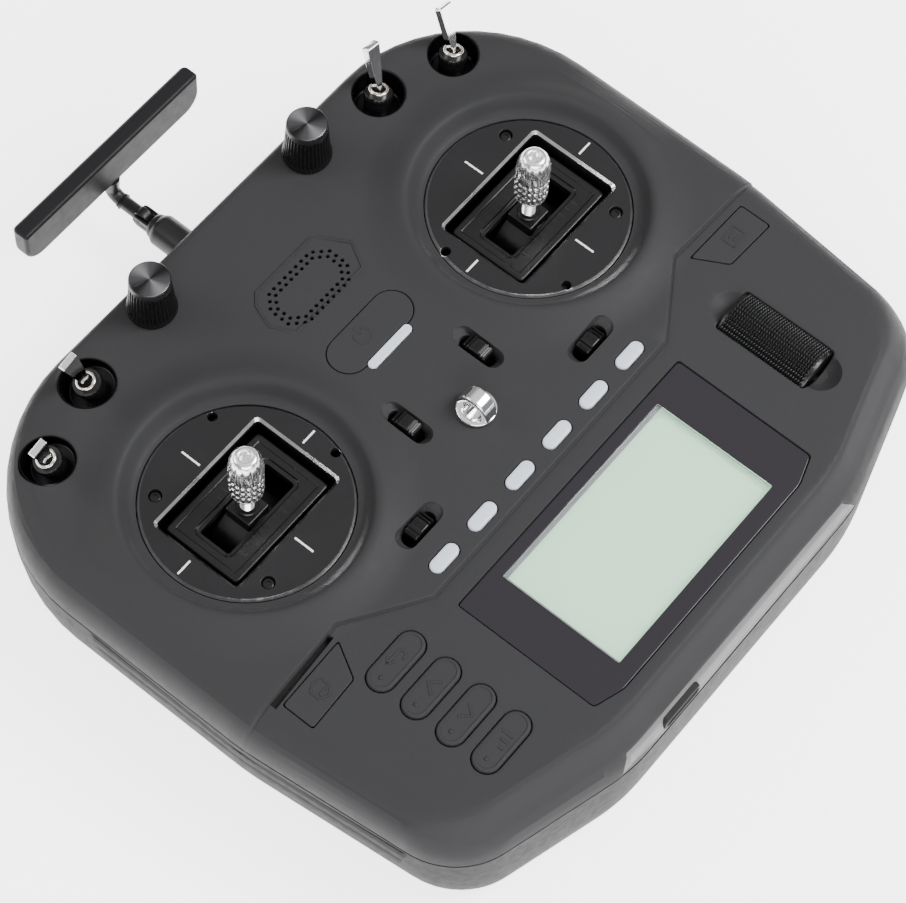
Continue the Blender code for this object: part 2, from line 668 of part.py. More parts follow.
def make_wheel(materials):
    x, y = WHEEL
    along = wheel_frame()
    half = WHEEL_LENGTH / 2
    roller = Shape().turned(((WHEEL_RADIUS - 0.5, -half), (WHEEL_RADIUS, -half + 0.5),
                             (WHEEL_RADIUS, half - 0.5), (WHEEL_RADIUS - 0.5, half)), 40, along)
    roller = roller.make("scroll_wheel", materials["black"], origin=(x, y, WHEEL_AXIS_Z))
    combine(roller, Shape().turned(((2.3, -20), (2.3, 20)), 16, along).make("cut_wheel_bore"))
    axle = Shape().turned(((2.0, -half - 3.0), (2.0, half + 3.0)), 16, along)
    axle = axle.make("scroll_wheel_axle", materials["plate"])
    legs = Shape()
    for way in (-1, 1):
        centre = y + way * (half + 2.0)
        legs.box(x - 4, x + 4, centre - 1, centre + 1, 22.0, WHEEL_AXIS_Z + 4)
    combine(axle, legs.make("add_wheel_legs"), "UNION")
    base = Shape().box(x - 6, x + 6, y - half - 3, y + half + 3, 20.0, 22.5)
    combine(axle, base.make("add_wheel_base"), "UNION")


def make_trim(name, material):
    """A rocker whose top is an arc about its own axis, so that it stays in its hole as it tips."""
    x, y, upright = TRIMS[name]
    swing = radians(33)
    profile = [(-3.4, -3.0), (3.4, -3.0)]
    for k in range(9):
        a = swing - 2 * swing * k / 8
        radius = TRIM_RADIUS - (0.5 if k in (2, 6) else 0.0)
        profile.append((radius * sin(a), radius * cos(a)))
    rocker = Shape().prism([(px, pz) for px, pz in profile], -2.3, 2.3)
    stand = Matrix.Rotation(pi / 2, 4, "X")
    spin = Matrix.Rotation(pi / 2, 4, "Z") if upright else Matrix.Identity(4)
    rocker.place(Matrix.Translation((x, y, TRIM_AXIS_Z)) @ spin @ stand)
    rocker.make(name, material, origin=(x, y, TRIM_AXIS_Z))


# ---------------------------------------------------------------- keys


def side_key_outline(mirror, inset):
    """A four-sided key outline beside the face's edge; the right one mirrors the left one."""
    points = [(mirror * -1 * x, y) for x, y in SIDE_KEY] if mirror > 0 else list(SIDE_KEY)
    if mirror > 0:
        points.reverse()
    return draw_in(points, [inset] * 4)


def make_key(name, outline_at, top, material):
    """A push key: its cap, and a wider foot that stops it under the face."""
    foot_top = CEILING_Z - GAP
    rings = []
    for inset, z in ((-1.1, 39.6), (-1.1, foot_top), (0.0, foot_top), (0.0, top - 0.4), (0.4, top)):
        rings.append([(x, y, z) for x, y in outline_at(inset)])
    return Shape().loft(rings).make(name, material)


def pill_key(centre, size):
    def outline_at(inset):
        return pill(centre, size[0] - 2 * inset, size[1] - 2 * inset, steps=6)

    return outline_at


def make_keys(materials):
    for k, x in enumerate(FUNCTION_KEYS_X):
        outline_at = pill_key((x, FUNCTION_KEYS_Y), FUNCTION_KEY)
        make_key(f"function_key_{k + 1}", outline_at, FACE_Z + 0.8, materials["light"])
    for word, y in zip(("return", "page_up", "page_down", "telemetry"), PAGE_KEYS_Y):
        make_key(word + "_key", pill_key((PAGE_KEYS_X, y), PAGE_KEY), LOWER_FACE_Z + 0.8, materials["case"])
    for word, mirror in (("system", -1), ("model", 1)):
        make_key(word + "_key", lambda inset, m=mirror: side_key_outline(m, inset),
                 LOWER_FACE_Z + 0.3, materials["case"])
    power = make_key("power_button", pill_key((0, POWER_Y), POWER_KEY), FACE_Z + 0.3, materials["case"])
    width, height = LIGHT_BAR[0] + 4 * GAP + 2.2, LIGHT_BAR[1] + 4 * GAP + 2.2
    notch = Shape().prism(pill((0, LIGHT_BAR_Y), width, height), 36, CEILING_Z + KEY_TRAVEL_ROOM)
    combine(power, notch.make("cut_power_foot"))
    width, height = LIGHT_BAR[0] + 2 * GAP, LIGHT_BAR[1] + 2 * GAP
    combine(power, Shape().prism(pill((0, LIGHT_BAR_Y), width, height), 36, 52).make("cut_power_edge"))
    bar = pill_key((0, LIGHT_BAR_Y), LIGHT_BAR)
    make_key("power_light_bar", bar, FACE_Z + 0.3, materials["light"])


# ---------------------------------------------------------------- eyelet and antenna


def make_eyelet(material):
    """A round foot with a flat loop over it; the strap's hook goes through along X."""
    place = Matrix.Translation((0, EYELET_Y, 0))
    foot = Shape().turned(((6.1, FACE_Z + GAP), (6.1, FACE_Z + 1.0), (5.6, FACE_Z + 1.4)), 28, place)
    foot = foot.make("strap_eyelet", material)
    loop = fillet([(-5.7, 0.0), (5.7, 0.0), (5.7, 7.6), (-5.7, 7.6)], [0.3, 0.3, 4.8, 4.8], 5)
    loop = Shape().prism(loop, -2.7, 2.7)
    stand = Matrix.Rotation(pi / 2, 4, "Z") @ Matrix.Rotation(pi / 2, 4, "X")
    loop.place(Matrix.Translation((0, EYELET_Y, FACE_Z + 0.8)) @ stand)
    combine(foot, loop.make("add_loop"), "UNION")
    hole = fillet([(-3.7, 0.6), (3.7, 0.6), (3.7, 5.8), (-3.7, 5.8)], [0.2, 0.2, 1.6, 1.6], 3)
    hole = Shape().prism(hole, -10, 10)
    hole.place(Matrix.Translation((0, EYELET_Y, FACE_Z + 0.8)) @ stand)
    combine(foot, hole.make("cut_loop"))


def make_antenna(material):
    along_y = Matrix.Translation((0, 0, BARREL_Z)) @ Matrix.Rotation(-pi / 2, 4, "X")
    profile = ((7.4, 92.6), (7.4, 95.2), (BARREL_RADIUS, 95.2), (BARREL_RADIUS, 120.6), (4.6, 121.6))
    barrel = Shape().turned(profile, 24, along_y).make("antenna_barrel", material, origin=(0, REAR_Y, BARREL_Z))
    ears = Shape()
    for way in (-1, 1):
        xs = sorted((way * 2.2, way * 3.9))
        ears.box(*xs, 120.8, KNUCKLE_Y + 1.6, BARREL_Z - 2.8, BARREL_Z + 2.8)
    combine(barrel, ears.make("add_ears"), "UNION")
    pin = Matrix.Translation((0, KNUCKLE_Y, BARREL_Z)) @ Matrix.Rotation(pi / 2, 4, "Y")
    combine(barrel, Shape().turned(((1.1, -3.0), (1.1, 3.0)), 12, pin).make("add_knuckle_pin"), "UNION")

    path = [(0, KNUCKLE_Y + 1.5, BARREL_Z)]
    radius = BAR_Y - 1.0 - ARM_BEND_Y
    for y, z in arc((ARM_BEND_Y, BARREL_Z + radius), radius, -90, 0, 8):
        path.append((0, y, z))
    path.append((0, BAR_Y - 1.0, BAR_BOTTOM_Z - GAP))
    arm = Shape().tube(path, [1.9, 2.1] + [ARM_RADIUS] * 7 + [2.6, 2.6], 16)
    arm = arm.make("antenna_arm", material, origin=(0, KNUCKLE_Y, BARREL_Z))
    eye = Shape().turned(((2.9, -1.8), (2.9, 1.8)), 20, pin)
    combine(arm, eye.make("add_eye"), "UNION")
    combine(arm, Shape().turned(((1.4, -5), (1.4, 5)), 16, pin).make("cut_eye"))

    half, depth = BAR_LENGTH / 2, BAR_DEPTH / 2
    tall = BAR_TOP_Z - BAR_BOTTOM_Z
    side = fillet([(-half, 0), (half, 0), (half, tall), (-half, tall)], [6.2, 6.2, 0.6, 0.6], 5)
    rings = []
    for y, inset in ((-depth, 0.7), (-depth + 0.7, 0.0), (depth - 0.7, 0.0), (depth, 0.7)):
        ring = []
        for px, pz in side:
            scale_z = (tall - 2 * inset) / tall
            ring.append((px * (half - inset) / half, BAR_Y - y, BAR_BOTTOM_Z + inset + pz * scale_z))
        rings.append(ring)
    Shape().loft(rings).make("antenna_bar", material)


# ---------------------------------------------------------------- assembly


def main():
    for thing in list(bpy.data.objects):
        bpy.data.objects.remove(thing, do_unlink=True)
    materials = make_materials()
    make_top_shell(materials["case"])
    make_bottom_shell(materials["case"])
    make_side_grips(materials["grip"])
    make_front_strip(materials["strip"])
    make_doors(materials["case"])
    make_screen(materials)
    make_inside(materials)
    for side, word in ((-1, "left"), (1, "right")):
        make_gimbal(side, word, materials)
        make_dial(side, word, materials)
    for name in TOGGLES:
        make_toggle(name, materials)
    make_wheel(materials)
    for name in TRIMS:
        make_trim(name, materials["black"])
    make_keys(materials)
    make_eyelet(materials["chrome"])
    make_antenna(materials["black"])


main()
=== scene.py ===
"""Looks of a handheld radio transmitter controller, built around its CAD frame.

Lengths are millimetres in the frame's axes: X to the right, Y to the back edge, Z up from the table.
The mesh builders turn them into metres.
"""

from math import asin, atan2, ceil, cos, hypot, pi, radians, sin, tan

import bmesh
import bpy
import numpy as np
from mathutils import Matrix, Vector
from mathutils.geometry import delaunay_2d_cdt


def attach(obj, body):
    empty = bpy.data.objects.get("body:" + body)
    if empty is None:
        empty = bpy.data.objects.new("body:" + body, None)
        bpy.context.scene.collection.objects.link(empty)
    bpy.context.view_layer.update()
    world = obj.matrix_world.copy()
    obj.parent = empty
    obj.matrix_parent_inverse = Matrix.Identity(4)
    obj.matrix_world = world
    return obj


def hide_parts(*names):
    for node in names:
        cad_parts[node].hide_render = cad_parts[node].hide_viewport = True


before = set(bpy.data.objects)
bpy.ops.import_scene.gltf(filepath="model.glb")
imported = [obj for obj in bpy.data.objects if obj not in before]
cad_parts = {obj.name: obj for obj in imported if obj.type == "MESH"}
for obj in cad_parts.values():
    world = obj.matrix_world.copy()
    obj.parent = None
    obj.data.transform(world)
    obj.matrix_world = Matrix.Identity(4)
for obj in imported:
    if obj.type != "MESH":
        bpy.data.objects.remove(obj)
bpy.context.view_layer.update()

MM = 0.001
GAP = 0.3

# Case
SHELL_BOTTOM_Z = 32.2
FACE_Z = 46.8
LOWER_FACE_Z = 45.9
CEILING_Z = 43.2
SEAM_Z = 31.5
TOP_WALL = 1.6
TOP_RIM_WIDTH = 3.4
CORNERS = ((-53.0, -101.0), (53.0, -101.0), (109.6, -84.6), (117.2, -15.0), (117.5, 101.0),
           (-117.5, 101.0), (-117.2, -15.0), (-109.6, -84.6))
TOP_LEVELS = ((SHELL_BOTTOM_Z, 0.0, 0.0, 0.0), (36.8, 0.4, 1.5, 0.2), (41.5, 1.9, 5.4, 0.8),
              (44.6, 4.6, 7.9, 1.8), (46.2, 8.0, 9.3, 3.1), (FACE_Z, 11.0, 10.6, 4.6))
BOTTOM_LEVELS = ((SEAM_Z, 0.0, 0.0, 0.0), (20.0, 0.8, 0.1, 0.3), (10.0, 2.4, 0.6, 1.4),
                 (3.0, 5.5, 2.0, 4.0), (0.0, 9.0, 5.0, 7.5))
STEP_LINE = ((-130.0, -16.5), (-77.0, -14.8), (-53.0, -30.0), (53.0, -30.0), (77.0, -14.8), (130.0, -16.5))

# Sticks
GIMBAL_X = 63.6
GIMBAL_Y = 28.9
PIVOT_Z = 26.0
PLATE_RADIUS = 30.8
PLATE_TOP_Z = 45.3
WINDOW = (43.6, 30.0)
CRADLE = (40.6, 27.0)
CRADLE_TOP_Z = 42.0
SLOT = (28.4, 10.6)
STICK_TOP_Z = 72.9
STICK_END_LENGTH = 20.5
STICK_DOME_RADIUS = 13.2
PLATE_BOTTOM_Z = 43.1
CRADLE_BOTTOM_Z = 38.6
RING_PROFILE = ((31.2, 44.75), (32.4, 45.1), (33.6, 46.1), (34.7, 47.7), (35.8, 49.1), (37.0, 49.75),
                (38.4, 49.7), (40.4, 49.1), (42.8, 48.2), (45.2, 47.5), (47.6, 47.0), (49.8, FACE_Z))

# Controls on the face
FUNCTION_KEYS_X = tuple(8.45 * k for k in (-5, -3, -1, 1, 3, 5))
FUNCTION_KEYS_Y = -24.8
FUNCTION_KEY = (10.6, 4.4)
PAGE_KEYS_X = -74.7
PAGE_KEYS_Y = (-34.2, -46.5, -58.8, -71.1)
PAGE_KEY = (21.0, 8.4)
POWER_Y = 37.0
POWER_KEY = (32.0, 12.6)
LIGHT_BAR_Y = 29.6
LIGHT_BAR = (18.2, 3.0)
SIDE_KEY = ((-104.2, -19.0), (-104.2, -29.4), (-86.2, -28.6), (-80.4, -18.4))
TRIM_SLOT = (17.5, 6.6)
TRIM_HOLE = (12.4, 5.4)
TRIM_RADIUS = 8.2
TRIM_AXIS_Z = 39.9
TRIMS = {
    "left_vertical_trim": (-16.1, 10.1, True),
    "right_vertical_trim": (16.1, 10.1, True),
    "left_horizontal_trim": (-39.0, -13.1, False),
    "right_horizontal_trim": (39.0, -13.1, False),
}
WHEEL = (74.2, -53.6)
WHEEL_LENGTH = 31.0
WHEEL_RADIUS = 10.6
WHEEL_AXIS_Z = 38.9
WHEEL_OPENING = (15.8, WHEEL_LENGTH + 1.0)
WHEEL_SCOOPS = ((-69.6, 6.6, 3.6), (-38.0, 6.4, 2.0))
NOTCH = ((-106.4, -18.2), (-80.2, -16.6), (-80.6, -14.9), (-106.4, -16.0))
KEY_FOOT_Z = 39.6
PAGE_SIGNS = {
    "return": (((1.5, -1.2), (3.0, -1.2), (3.6, -0.5), (3.6, 0.6), (3.0, 1.3), (-2.2, 1.3)),
               ((-0.6, 2.5), (-2.4, 1.3), (-0.6, 0.1))),
    "page_up": (((-1.8, -1.4), (0.6, 1.6), (3.0, -1.4)),),
    "page_down": (((-1.8, 1.4), (0.6, -1.6), (3.0, 1.4)),),
    "telemetry": (((-1.6, -1.8), (-1.6, -0.4)), ((0.6, -1.8), (0.6, 0.7)), ((2.8, -1.8), (2.8, 1.9))),
}
SCREEN = ((-50.4, -36.5), (-50.2, -83.8), (-40.8, -86.8), (40.8, -86.8), (50.2, -83.8), (50.4, -36.5))
LENS_TOP_Z = 45.6
DISPLAY = (-35.6, 35.6, -81.2, -40.3)
DIALS_X = 34.5
DIALS_Y = 89.9
DIAL_HOLE_RADIUS = 3.5
SPEAKER_Y = 60.0
EYELET_Y = -2.3
TOGGLES = {
    "left_outer": (-90.4, 79.5, 7.6, 14.0),
    "left_inner": (-64.9, 87.6, 7.9, 0.0),
    "right_inner": (64.9, 87.6, 7.9, -16.0),
    "right_outer": (90.4, 79.5, 7.6, -20.0),
}
TOGGLE_TILT_OUT = 15.0
TOGGLE_TILT_BACK = 8.0
WELL_DEPTH = 5.0
LEVER_PIVOT = 5.0

# Antenna, front strip, grips and doors
BARREL_Z = 16.5
KNUCKLE_Y = 125.5
BAR_Y = 139.3
BAR_BOTTOM_Z = 24.9
BAR_TOP_Z = 39.8
BAR_HALF = 38.3
STRIP = (-58.0, 53.0, 38.1)
STRIP_SLANT = 5.5
FRONT_Y = -101.0
PORT_X = (-38.5, -22.4)
PORT_Z = (32.8, 37.4)
GRIP_Y = (-69.0, 41.0)
GRIP_Z = (4.5, 31.0)
REAR_DOORS = {"battery_door": (-40.0, 40.0, -83.0, -17.0), "module_bay_cover": (-31.0, 31.0, 17.0, 83.0)}
VENTS_Y = 90.0
WALL = 3.6
COVER_THICKNESS = 2.6
DOOR_THICKNESS = 2.2
FLIP = Matrix.Diagonal((1, 1, -1, 1))
# Finishes and camera
SUBSURFACE_DEPTH = 2.0
MOTTLE_SCALE = 60.0
GLOSS_SCALE = 400.0
CAMERA_TARGET = (-14.79, -5.68, 46.8)
CAMERA_AZIMUTH = -55.47
CAMERA_ELEVATION = 62.45
CAMERA_ROLL = 5.05
CAMERA_DISTANCE = 904.5
CAMERA_LENS = 127.31


# ---------------------------------------------------------------- outlines


def arc(centre, radius, start, end, steps):
    """Points on an arc, angles in degrees."""
    points = []
    for k in range(steps + 1):
        a = radians(start + (end - start) * k / steps)
        points.append((centre[0] + radius * cos(a), centre[1] + radius * sin(a)))
    return points


def circle(centre, radius, steps):
    return arc(centre, radius, 0, 360, steps)[:-1]


def pill(centre, length, width, upright=False, steps=12):
    """A slot outline with round ends, its long side along X, or along Y when upright."""
    reach = (length - width) / 2
    points = arc((reach, 0), width / 2, -90, 90, steps) + arc((-reach, 0), width / 2, 90, 270, steps)
    if upright:
        points = [(-y, x) for x, y in points]
    return [(centre[0] + x, centre[1] + y) for x, y in points]


def rectangle(x0, x1, y0, y1):
    return [(x0, y0), (x1, y0), (x1, y1), (x0, y1)]


def dense(points, step):
    """The same closed outline with extra points, so that no side is longer than the step."""
    out = []
    for (x0, y0), (x1, y1) in zip(points, list(points[1:]) + [points[0]]):
        count = max(1, ceil(hypot(x1 - x0, y1 - y0) / step))
        out += [(x0 + (x1 - x0) * k / count, y0 + (y1 - y0) * k / count) for k in range(count)]
    return out


def draw_in(points, distances):
    """Moves each edge of a counter-clockwise polygon inwards by its own distance."""
    lines = []
    for k, p in enumerate(points):
        a, b = Vector(p), Vector(points[(k + 1) % len(points)])
        along = (b - a).normalized()
        lines.append((a + Vector((-along.y, along.x)) * distances[k], along))
    moved = []
    for k in range(len(points)):
        (p, d), (q, e) = lines[k - 1], lines[k]
        cross = d.x * e.y - d.y * e.x
        t = ((q.x - p.x) * e.y - (q.y - p.y) * e.x) / cross
        moved.append(tuple(p + d * t))
    return moved


def fillet(points, radii, steps):
    """Rounds each corner of a counter-clockwise convex polygon."""
    outline = []
    for k, radius in enumerate(radii):
        corner = Vector(points[k])
        before = (Vector(points[k - 1]) - corner).normalized()
        after = (Vector(points[(k + 1) % len(points)]) - corner).normalized()
        half = before.angle(after) / 2
        centre = corner + (before + after).normalized() * (radius / sin(half))
        start = corner + before * (radius / tan(half)) - centre
        turn = pi - 2 * half
        first = atan2(start.y, start.x)
        for s in range(steps + 1):
            a = first + turn * s / steps
            outline.append((centre.x + radius * cos(a), centre.y + radius * sin(a)))
    return outline


def round_box(x0, x1, y0, y1, radius, steps=6):
    return fillet(rectangle(x0, x1, y0, y1), [radius] * 4, steps)


# A shape is a function of an inset: it gives an outline drawn in by that much, or grown if it is negative.


def box_shape(x0, x1, y0, y1, radius, shrink=0.0, steps=6):
    """A rounded box; its corner radius shrinks by this share of the inset."""
    def shape(inset):
        return round_box(x0 + inset, x1 - inset, y0 + inset, y1 - inset, radius - shrink * inset, steps)
    return shape


def centred_box(x, y, length, width, radius, shrink=0.0, steps=6):
    return box_shape(x - length / 2, x + length / 2, y - width / 2, y + width / 2, radius, shrink, steps)


def pill_shape(centre, size, room=0.0, steps=12):
    return lambda inset: pill(centre, *[side + 2 * (room - inset) for side in size], steps=steps)


def circle_shape(centre, radius, steps):
    return lambda inset: circle(centre, radius - inset, steps)


def drawn_shape(points, less=0.0):
    return lambda inset: draw_in(points, [inset - less] * len(points))


def fixed(outline):
    """The same outline at every inset."""
    return lambda inset: outline


def case_outline(side, front, rear, steps=12):
    """The case seen from above, with its sides, front and back drawn in by these distances."""
    distances = [front, front, side, side, rear, side, side, front]
    front_radius = 24.0 - (front + side) / 4
    rear_radius = 52.0 - (rear + side) / 2
    radii = [60, 60, front_radius, 100, rear_radius, rear_radius, 100, front_radius]
    return fillet(draw_in(CORNERS, distances), radii, steps)


def curve_through(points, steps):
    """A smooth curve through points of any dimension, as a list of arrays."""
    p = [np.array(q, float) for q in points]
    p = [2 * p[0] - p[1]] + p + [2 * p[-1] - p[-2]]
    out = []
    for k in range(1, len(p) - 2):
        for s in range(steps):
            t = s / steps
            a, b, c, d = p[k - 1 : k + 3]
            cubic = 2 * b + (c - a) * t + (2 * a - 5 * b + 4 * c - d) * t**2 + (3 * b - a - 3 * c + d) * t**3
            out.append(cubic / 2)
    out.append(p[-2])
    return out


def soften(points, radius, steps=4, closed=False):
    """Rounds the corners of a line of points of any dimension, within the radius from each corner."""
    p = [np.array(q, float) for q in points]
    out = []
    for k, corner in enumerate(p):
        if not closed and k in (0, len(p) - 1):
            out.append(corner)
            continue
        before, after = p[k - 1] - corner, p[(k + 1) % len(p)] - corner
        start = corner + before * min(radius / np.linalg.norm(before), 0.5)
        end = corner + after * min(radius / np.linalg.norm(after), 0.5)
        for s in range(steps + 1):
            t = s / steps
            out.append(start * (1 - t) ** 2 + corner * 2 * t * (1 - t) + end * t**2)
    return [tuple(q) for q in out]


def inside(points, outline):
    """Which of the points lie inside a closed outline."""
    x, y = points[:, 0], points[:, 1]
    odd = np.zeros(len(points), bool)
    for (x0, y0), (x1, y1) in zip(outline, list(outline[1:]) + [outline[0]]):
        if y0 != y1:
            odd ^= ((y0 > y) != (y1 > y)) & (x < (x1 - x0) * (y - y0) / (y1 - y0) + x0)
    return odd


def distance(points, line, closed=True):
    """How far each point is from a line of points."""
    ends = list(line[1:]) + ([line[0]] if closed else [])
    best = np.full(len(points), 1e9)
    for a, b in zip(line, ends):
        a, b = np.array(a, float), np.array(b, float)
        run = b - a
        if run @ run < 1e-12:
            continue
        t = np.clip(((points - a) @ run) / (run @ run), 0, 1)
        best = np.minimum(best, np.linalg.norm(points - a - t[:, None] * run, axis=1))
    return best


def near_line(points, outline, reach):
    """Zero beyond the reach from a closed outline, rising to the reach on it."""
    return np.clip(reach - distance(points, outline), 0, reach)


def depth_in(points, outline):
    """Distance from a closed outline: positive inside it, negative outside."""
    return distance(points, outline) * np.where(inside(points, outline), 1, -1)


# ---------------------------------------------------------------- materials


def noise(tree, scale, detail=2.0):
    """Noise over the object's own coordinates; scale is in features per metre."""
    place = tree.nodes.get("Texture Coordinate") or tree.nodes.new("ShaderNodeTexCoord")
    texture = tree.nodes.new("ShaderNodeTexNoise")
    texture.inputs["Scale"].default_value = scale
    texture.inputs["Detail"].default_value = detail
    tree.links.new(place.outputs["Object"], texture.inputs["Vector"])
    return texture.outputs["Fac"]


def spread(tree, source, low, high):
    ranged = tree.nodes.new("ShaderNodeMapRange")
    ranged.inputs["From Min"].default_value = 0.3
    ranged.inputs["From Max"].default_value = 0.7
    ranged.inputs["To Min"].default_value = low
    ranged.inputs["To Max"].default_value = high
    tree.links.new(source, ranged.inputs["Value"])
    return ranged.outputs["Result"]


def finish(name, colour, roughness, metallic=0.0, grain=0.4, relief=0.02, mottle=0.08, uneven=0.05,
           specular=0.5, subsurface=0.0):
    """A moulded or machined surface: fine grain in its relief, mottled colour and uneven gloss."""
    material = bpy.data.materials.new(name)
    material.use_nodes = True
    tree = material.node_tree
    shader = tree.nodes["Principled BSDF"]
    shader.inputs["Metallic"].default_value = metallic
    shader.inputs["Specular IOR Level"].default_value = specular
    shader.inputs["Subsurface Weight"].default_value = subsurface
    shader.inputs["Subsurface Radius"].default_value = [SUBSURFACE_DEPTH * MM] * 3
    tint = tree.nodes.new("ShaderNodeMix")
    tint.data_type = "RGBA"
    tint.inputs["A"].default_value = (*[c * (1 - mottle) for c in colour], 1)
    tint.inputs["B"].default_value = (*[min(c * (1 + mottle), 1) for c in colour], 1)
    tree.links.new(noise(tree, MOTTLE_SCALE, 5.0), tint.inputs["Factor"])
    tree.links.new(tint.outputs["Result"], shader.inputs["Base Color"])
    low, high = max(roughness - uneven, 0.02), min(roughness + uneven, 1)
    tree.links.new(spread(tree, noise(tree, GLOSS_SCALE, 3.0), low, high), shader.inputs["Roughness"])
    bump = tree.nodes.new("ShaderNodeBump")
    bump.inputs["Strength"].default_value = 1.0
    bump.inputs["Distance"].default_value = relief * MM
    tree.links.new(noise(tree, 1 / (grain * MM), 1.0), bump.inputs["Height"])
    tree.links.new(bump.outputs["Normal"], shader.inputs["Normal"])
    return material


def turned_metal_painted_sheen(name, colour, roughness, centre):
    """Metal faced on a lathe, with fine turned rings in its relief; its colour carries a painted sheen,
    lighter in two opposite wedges and darker between them about its centre.
    """
    material = finish(name, colour, roughness, metallic=1.0, relief=0.0)
    tree = material.node_tree
    shift = tree.nodes.new("ShaderNodeVectorMath")
    shift.operation = "SUBTRACT"
    shift.inputs[1].default_value = (centre[0] * MM, centre[1] * MM, 0.0)
    tree.links.new(tree.nodes["Texture Coordinate"].outputs["Object"], shift.inputs[0])
    # Painted sheen: a radial gradient makes the base colour lighter and darker round the centre, standing in
    # for the lathe's highlights.
    painted_sheen_wedges = tree.nodes.new("ShaderNodeTexGradient")
    painted_sheen_wedges.gradient_type = "RADIAL"
    turn = tree.nodes.new("ShaderNodeVectorRotate")
    turn.rotation_type = "Z_AXIS"
    turn.inputs["Angle"].default_value = radians(8)
    tree.links.new(shift.outputs["Vector"], turn.inputs["Vector"])
    tree.links.new(turn.outputs["Vector"], painted_sheen_wedges.inputs["Vector"])
    ramp = tree.nodes.new("ShaderNodeValToRGB")
    sheen_stops = ((0.0, 0.25), (0.12, 1.0), (0.25, 3.0), (0.36, 1.0), (0.5, 0.25), (0.62, 1.0), (0.75, 3.0),
             (0.88, 1.0), (1.0, 0.25))
    ramp.color_ramp.interpolation = "EASE"
    while len(ramp.color_ramp.elements) < len(sheen_stops):
        ramp.color_ramp.elements.new(0.5)
    for element, (place, share) in zip(ramp.color_ramp.elements, sheen_stops):
        element.position = place
        element.color = (*[min(c * share, 1) for c in colour], 1)
    tree.links.new(painted_sheen_wedges.outputs["Fac"], ramp.inputs["Fac"])
    tree.links.new(ramp.outputs["Color"], tree.nodes["Principled BSDF"].inputs["Base Color"])
    rings = tree.nodes.new("ShaderNodeTexWave")
    rings.wave_type = "RINGS"
    rings.rings_direction = "Z"
    rings.inputs["Scale"].default_value = 700.0
    tree.links.new(shift.outputs["Vector"], rings.inputs["Vector"])
    tree.nodes["Bump"].inputs["Distance"].default_value = 0.003 * MM
    tree.links.new(rings.outputs["Fac"], tree.nodes["Bump"].inputs["Height"])
    return material


def glow(material, colour, strength):
    """The same material giving off a plain light of its own."""
    shader = material.node_tree.nodes["Principled BSDF"]
    shader.inputs["Emission Color"].default_value = (*colour, 1)
    shader.inputs["Emission Strength"].default_value = strength
    return material


def glass_finish():
    material = finish("window_glass", (1.0, 1.0, 1.0), 0.03, mottle=0.0, uneven=0.01, relief=0.0)
    shader = material.node_tree.nodes["Principled BSDF"]
    shader.inputs["Transmission Weight"].default_value = 1.0
    shader.inputs["IOR"].default_value = 1.3
    return material


CASE = finish("case_plastic", (0.033, 0.033, 0.0345), 0.45, grain=0.35, relief=0.03, mottle=0.02,
              specular=0.06)
SHELL = finish("shell_plastic", (0.016, 0.016, 0.0165), 0.5, grain=0.35, relief=0.03, mottle=0.02,
               specular=0.05)
GRIP = finish("grip_plastic", (0.009, 0.009, 0.0095), 0.6, grain=0.6, relief=0.06, specular=0.04)
STRIP_ROUGH = finish("strip_plastic", (0.13, 0.126, 0.13), 0.55, grain=0.5, relief=0.1, mottle=0.2)
BLACK = finish("black_plastic", (0.004, 0.004, 0.0045), 0.3, grain=0.5, relief=0.01, specular=0.35)
WELL = finish("well_black", (0.0015, 0.0015, 0.0016), 0.25, grain=0.5, relief=0.005, specular=0.15)
SATIN = finish("black_satin", (0.008, 0.008, 0.0085), 0.4, grain=0.3, relief=0.02, specular=0.4)
BAR = finish("bar_plastic", (0.012, 0.012, 0.013), 0.4, grain=0.4, relief=0.02, specular=0.12)
PLATE = finish("black_anodised", (0.012, 0.012, 0.013), 0.35, metallic=0.2, grain=0.3, relief=0.008,
               specular=0.35)
EDGE = finish("polished_edge", (0.92, 0.92, 0.92), 0.2, metallic=1.0, relief=0.003, mottle=0.03, uneven=0.04)
CHROME = finish("chrome", (0.93, 0.93, 0.94), 0.1, metallic=1.0, relief=0.002, mottle=0.02, uneven=0.03)
ALLOY = finish("stick_alloy", (0.97, 0.97, 0.97), 0.25, metallic=1.0, relief=0.002, mottle=0.02, uneven=0.03)
NICKEL = finish("nickel", (0.8, 0.76, 0.7), 0.14, metallic=1.0, relief=0.004, mottle=0.05, uneven=0.05)
LENS = finish("lens_border", (0.018, 0.016, 0.02), 0.15, relief=0.0, mottle=0.03, uneven=0.03, specular=0.3)
# Grey of a painted shadow: the shade the lens border casts on the display.
PAINTED_LENS_SHADOW = finish("lens_painted_shadow", (0.3, 0.3, 0.33), 0.5, relief=0.0, mottle=0.05)
GLASS = glass_finish()
LCD = glow(finish("display", (0.5, 0.78, 0.56), 0.4, relief=0.0, mottle=0.0), (0.6, 1.0, 0.7), 0.65)
LIGHT = finish("light_plastic", (0.62, 0.67, 0.75), 0.3, grain=0.5, relief=0.01, mottle=0.06, subsurface=0.3)
WHITE = finish("mark_white", (0.8, 0.8, 0.79), 0.45, grain=0.3, relief=0.01)
BOARD = finish("board_green", (0.015, 0.1, 0.04), 0.45, grain=1.2, relief=0.02, mottle=0.3)
CELL = finish("cell_wrap", (0.02, 0.07, 0.22), 0.35, grain=1.0, relief=0.02, mottle=0.1)
RUBBER = finish("foot_rubber", (0.012, 0.012, 0.012), 0.8, grain=0.5, relief=0.05)
DARK = finish("dark_inside", (0.004, 0.004, 0.004), 0.7, grain=0.5, relief=0.02)


# ---------------------------------------------------------------- mesh building


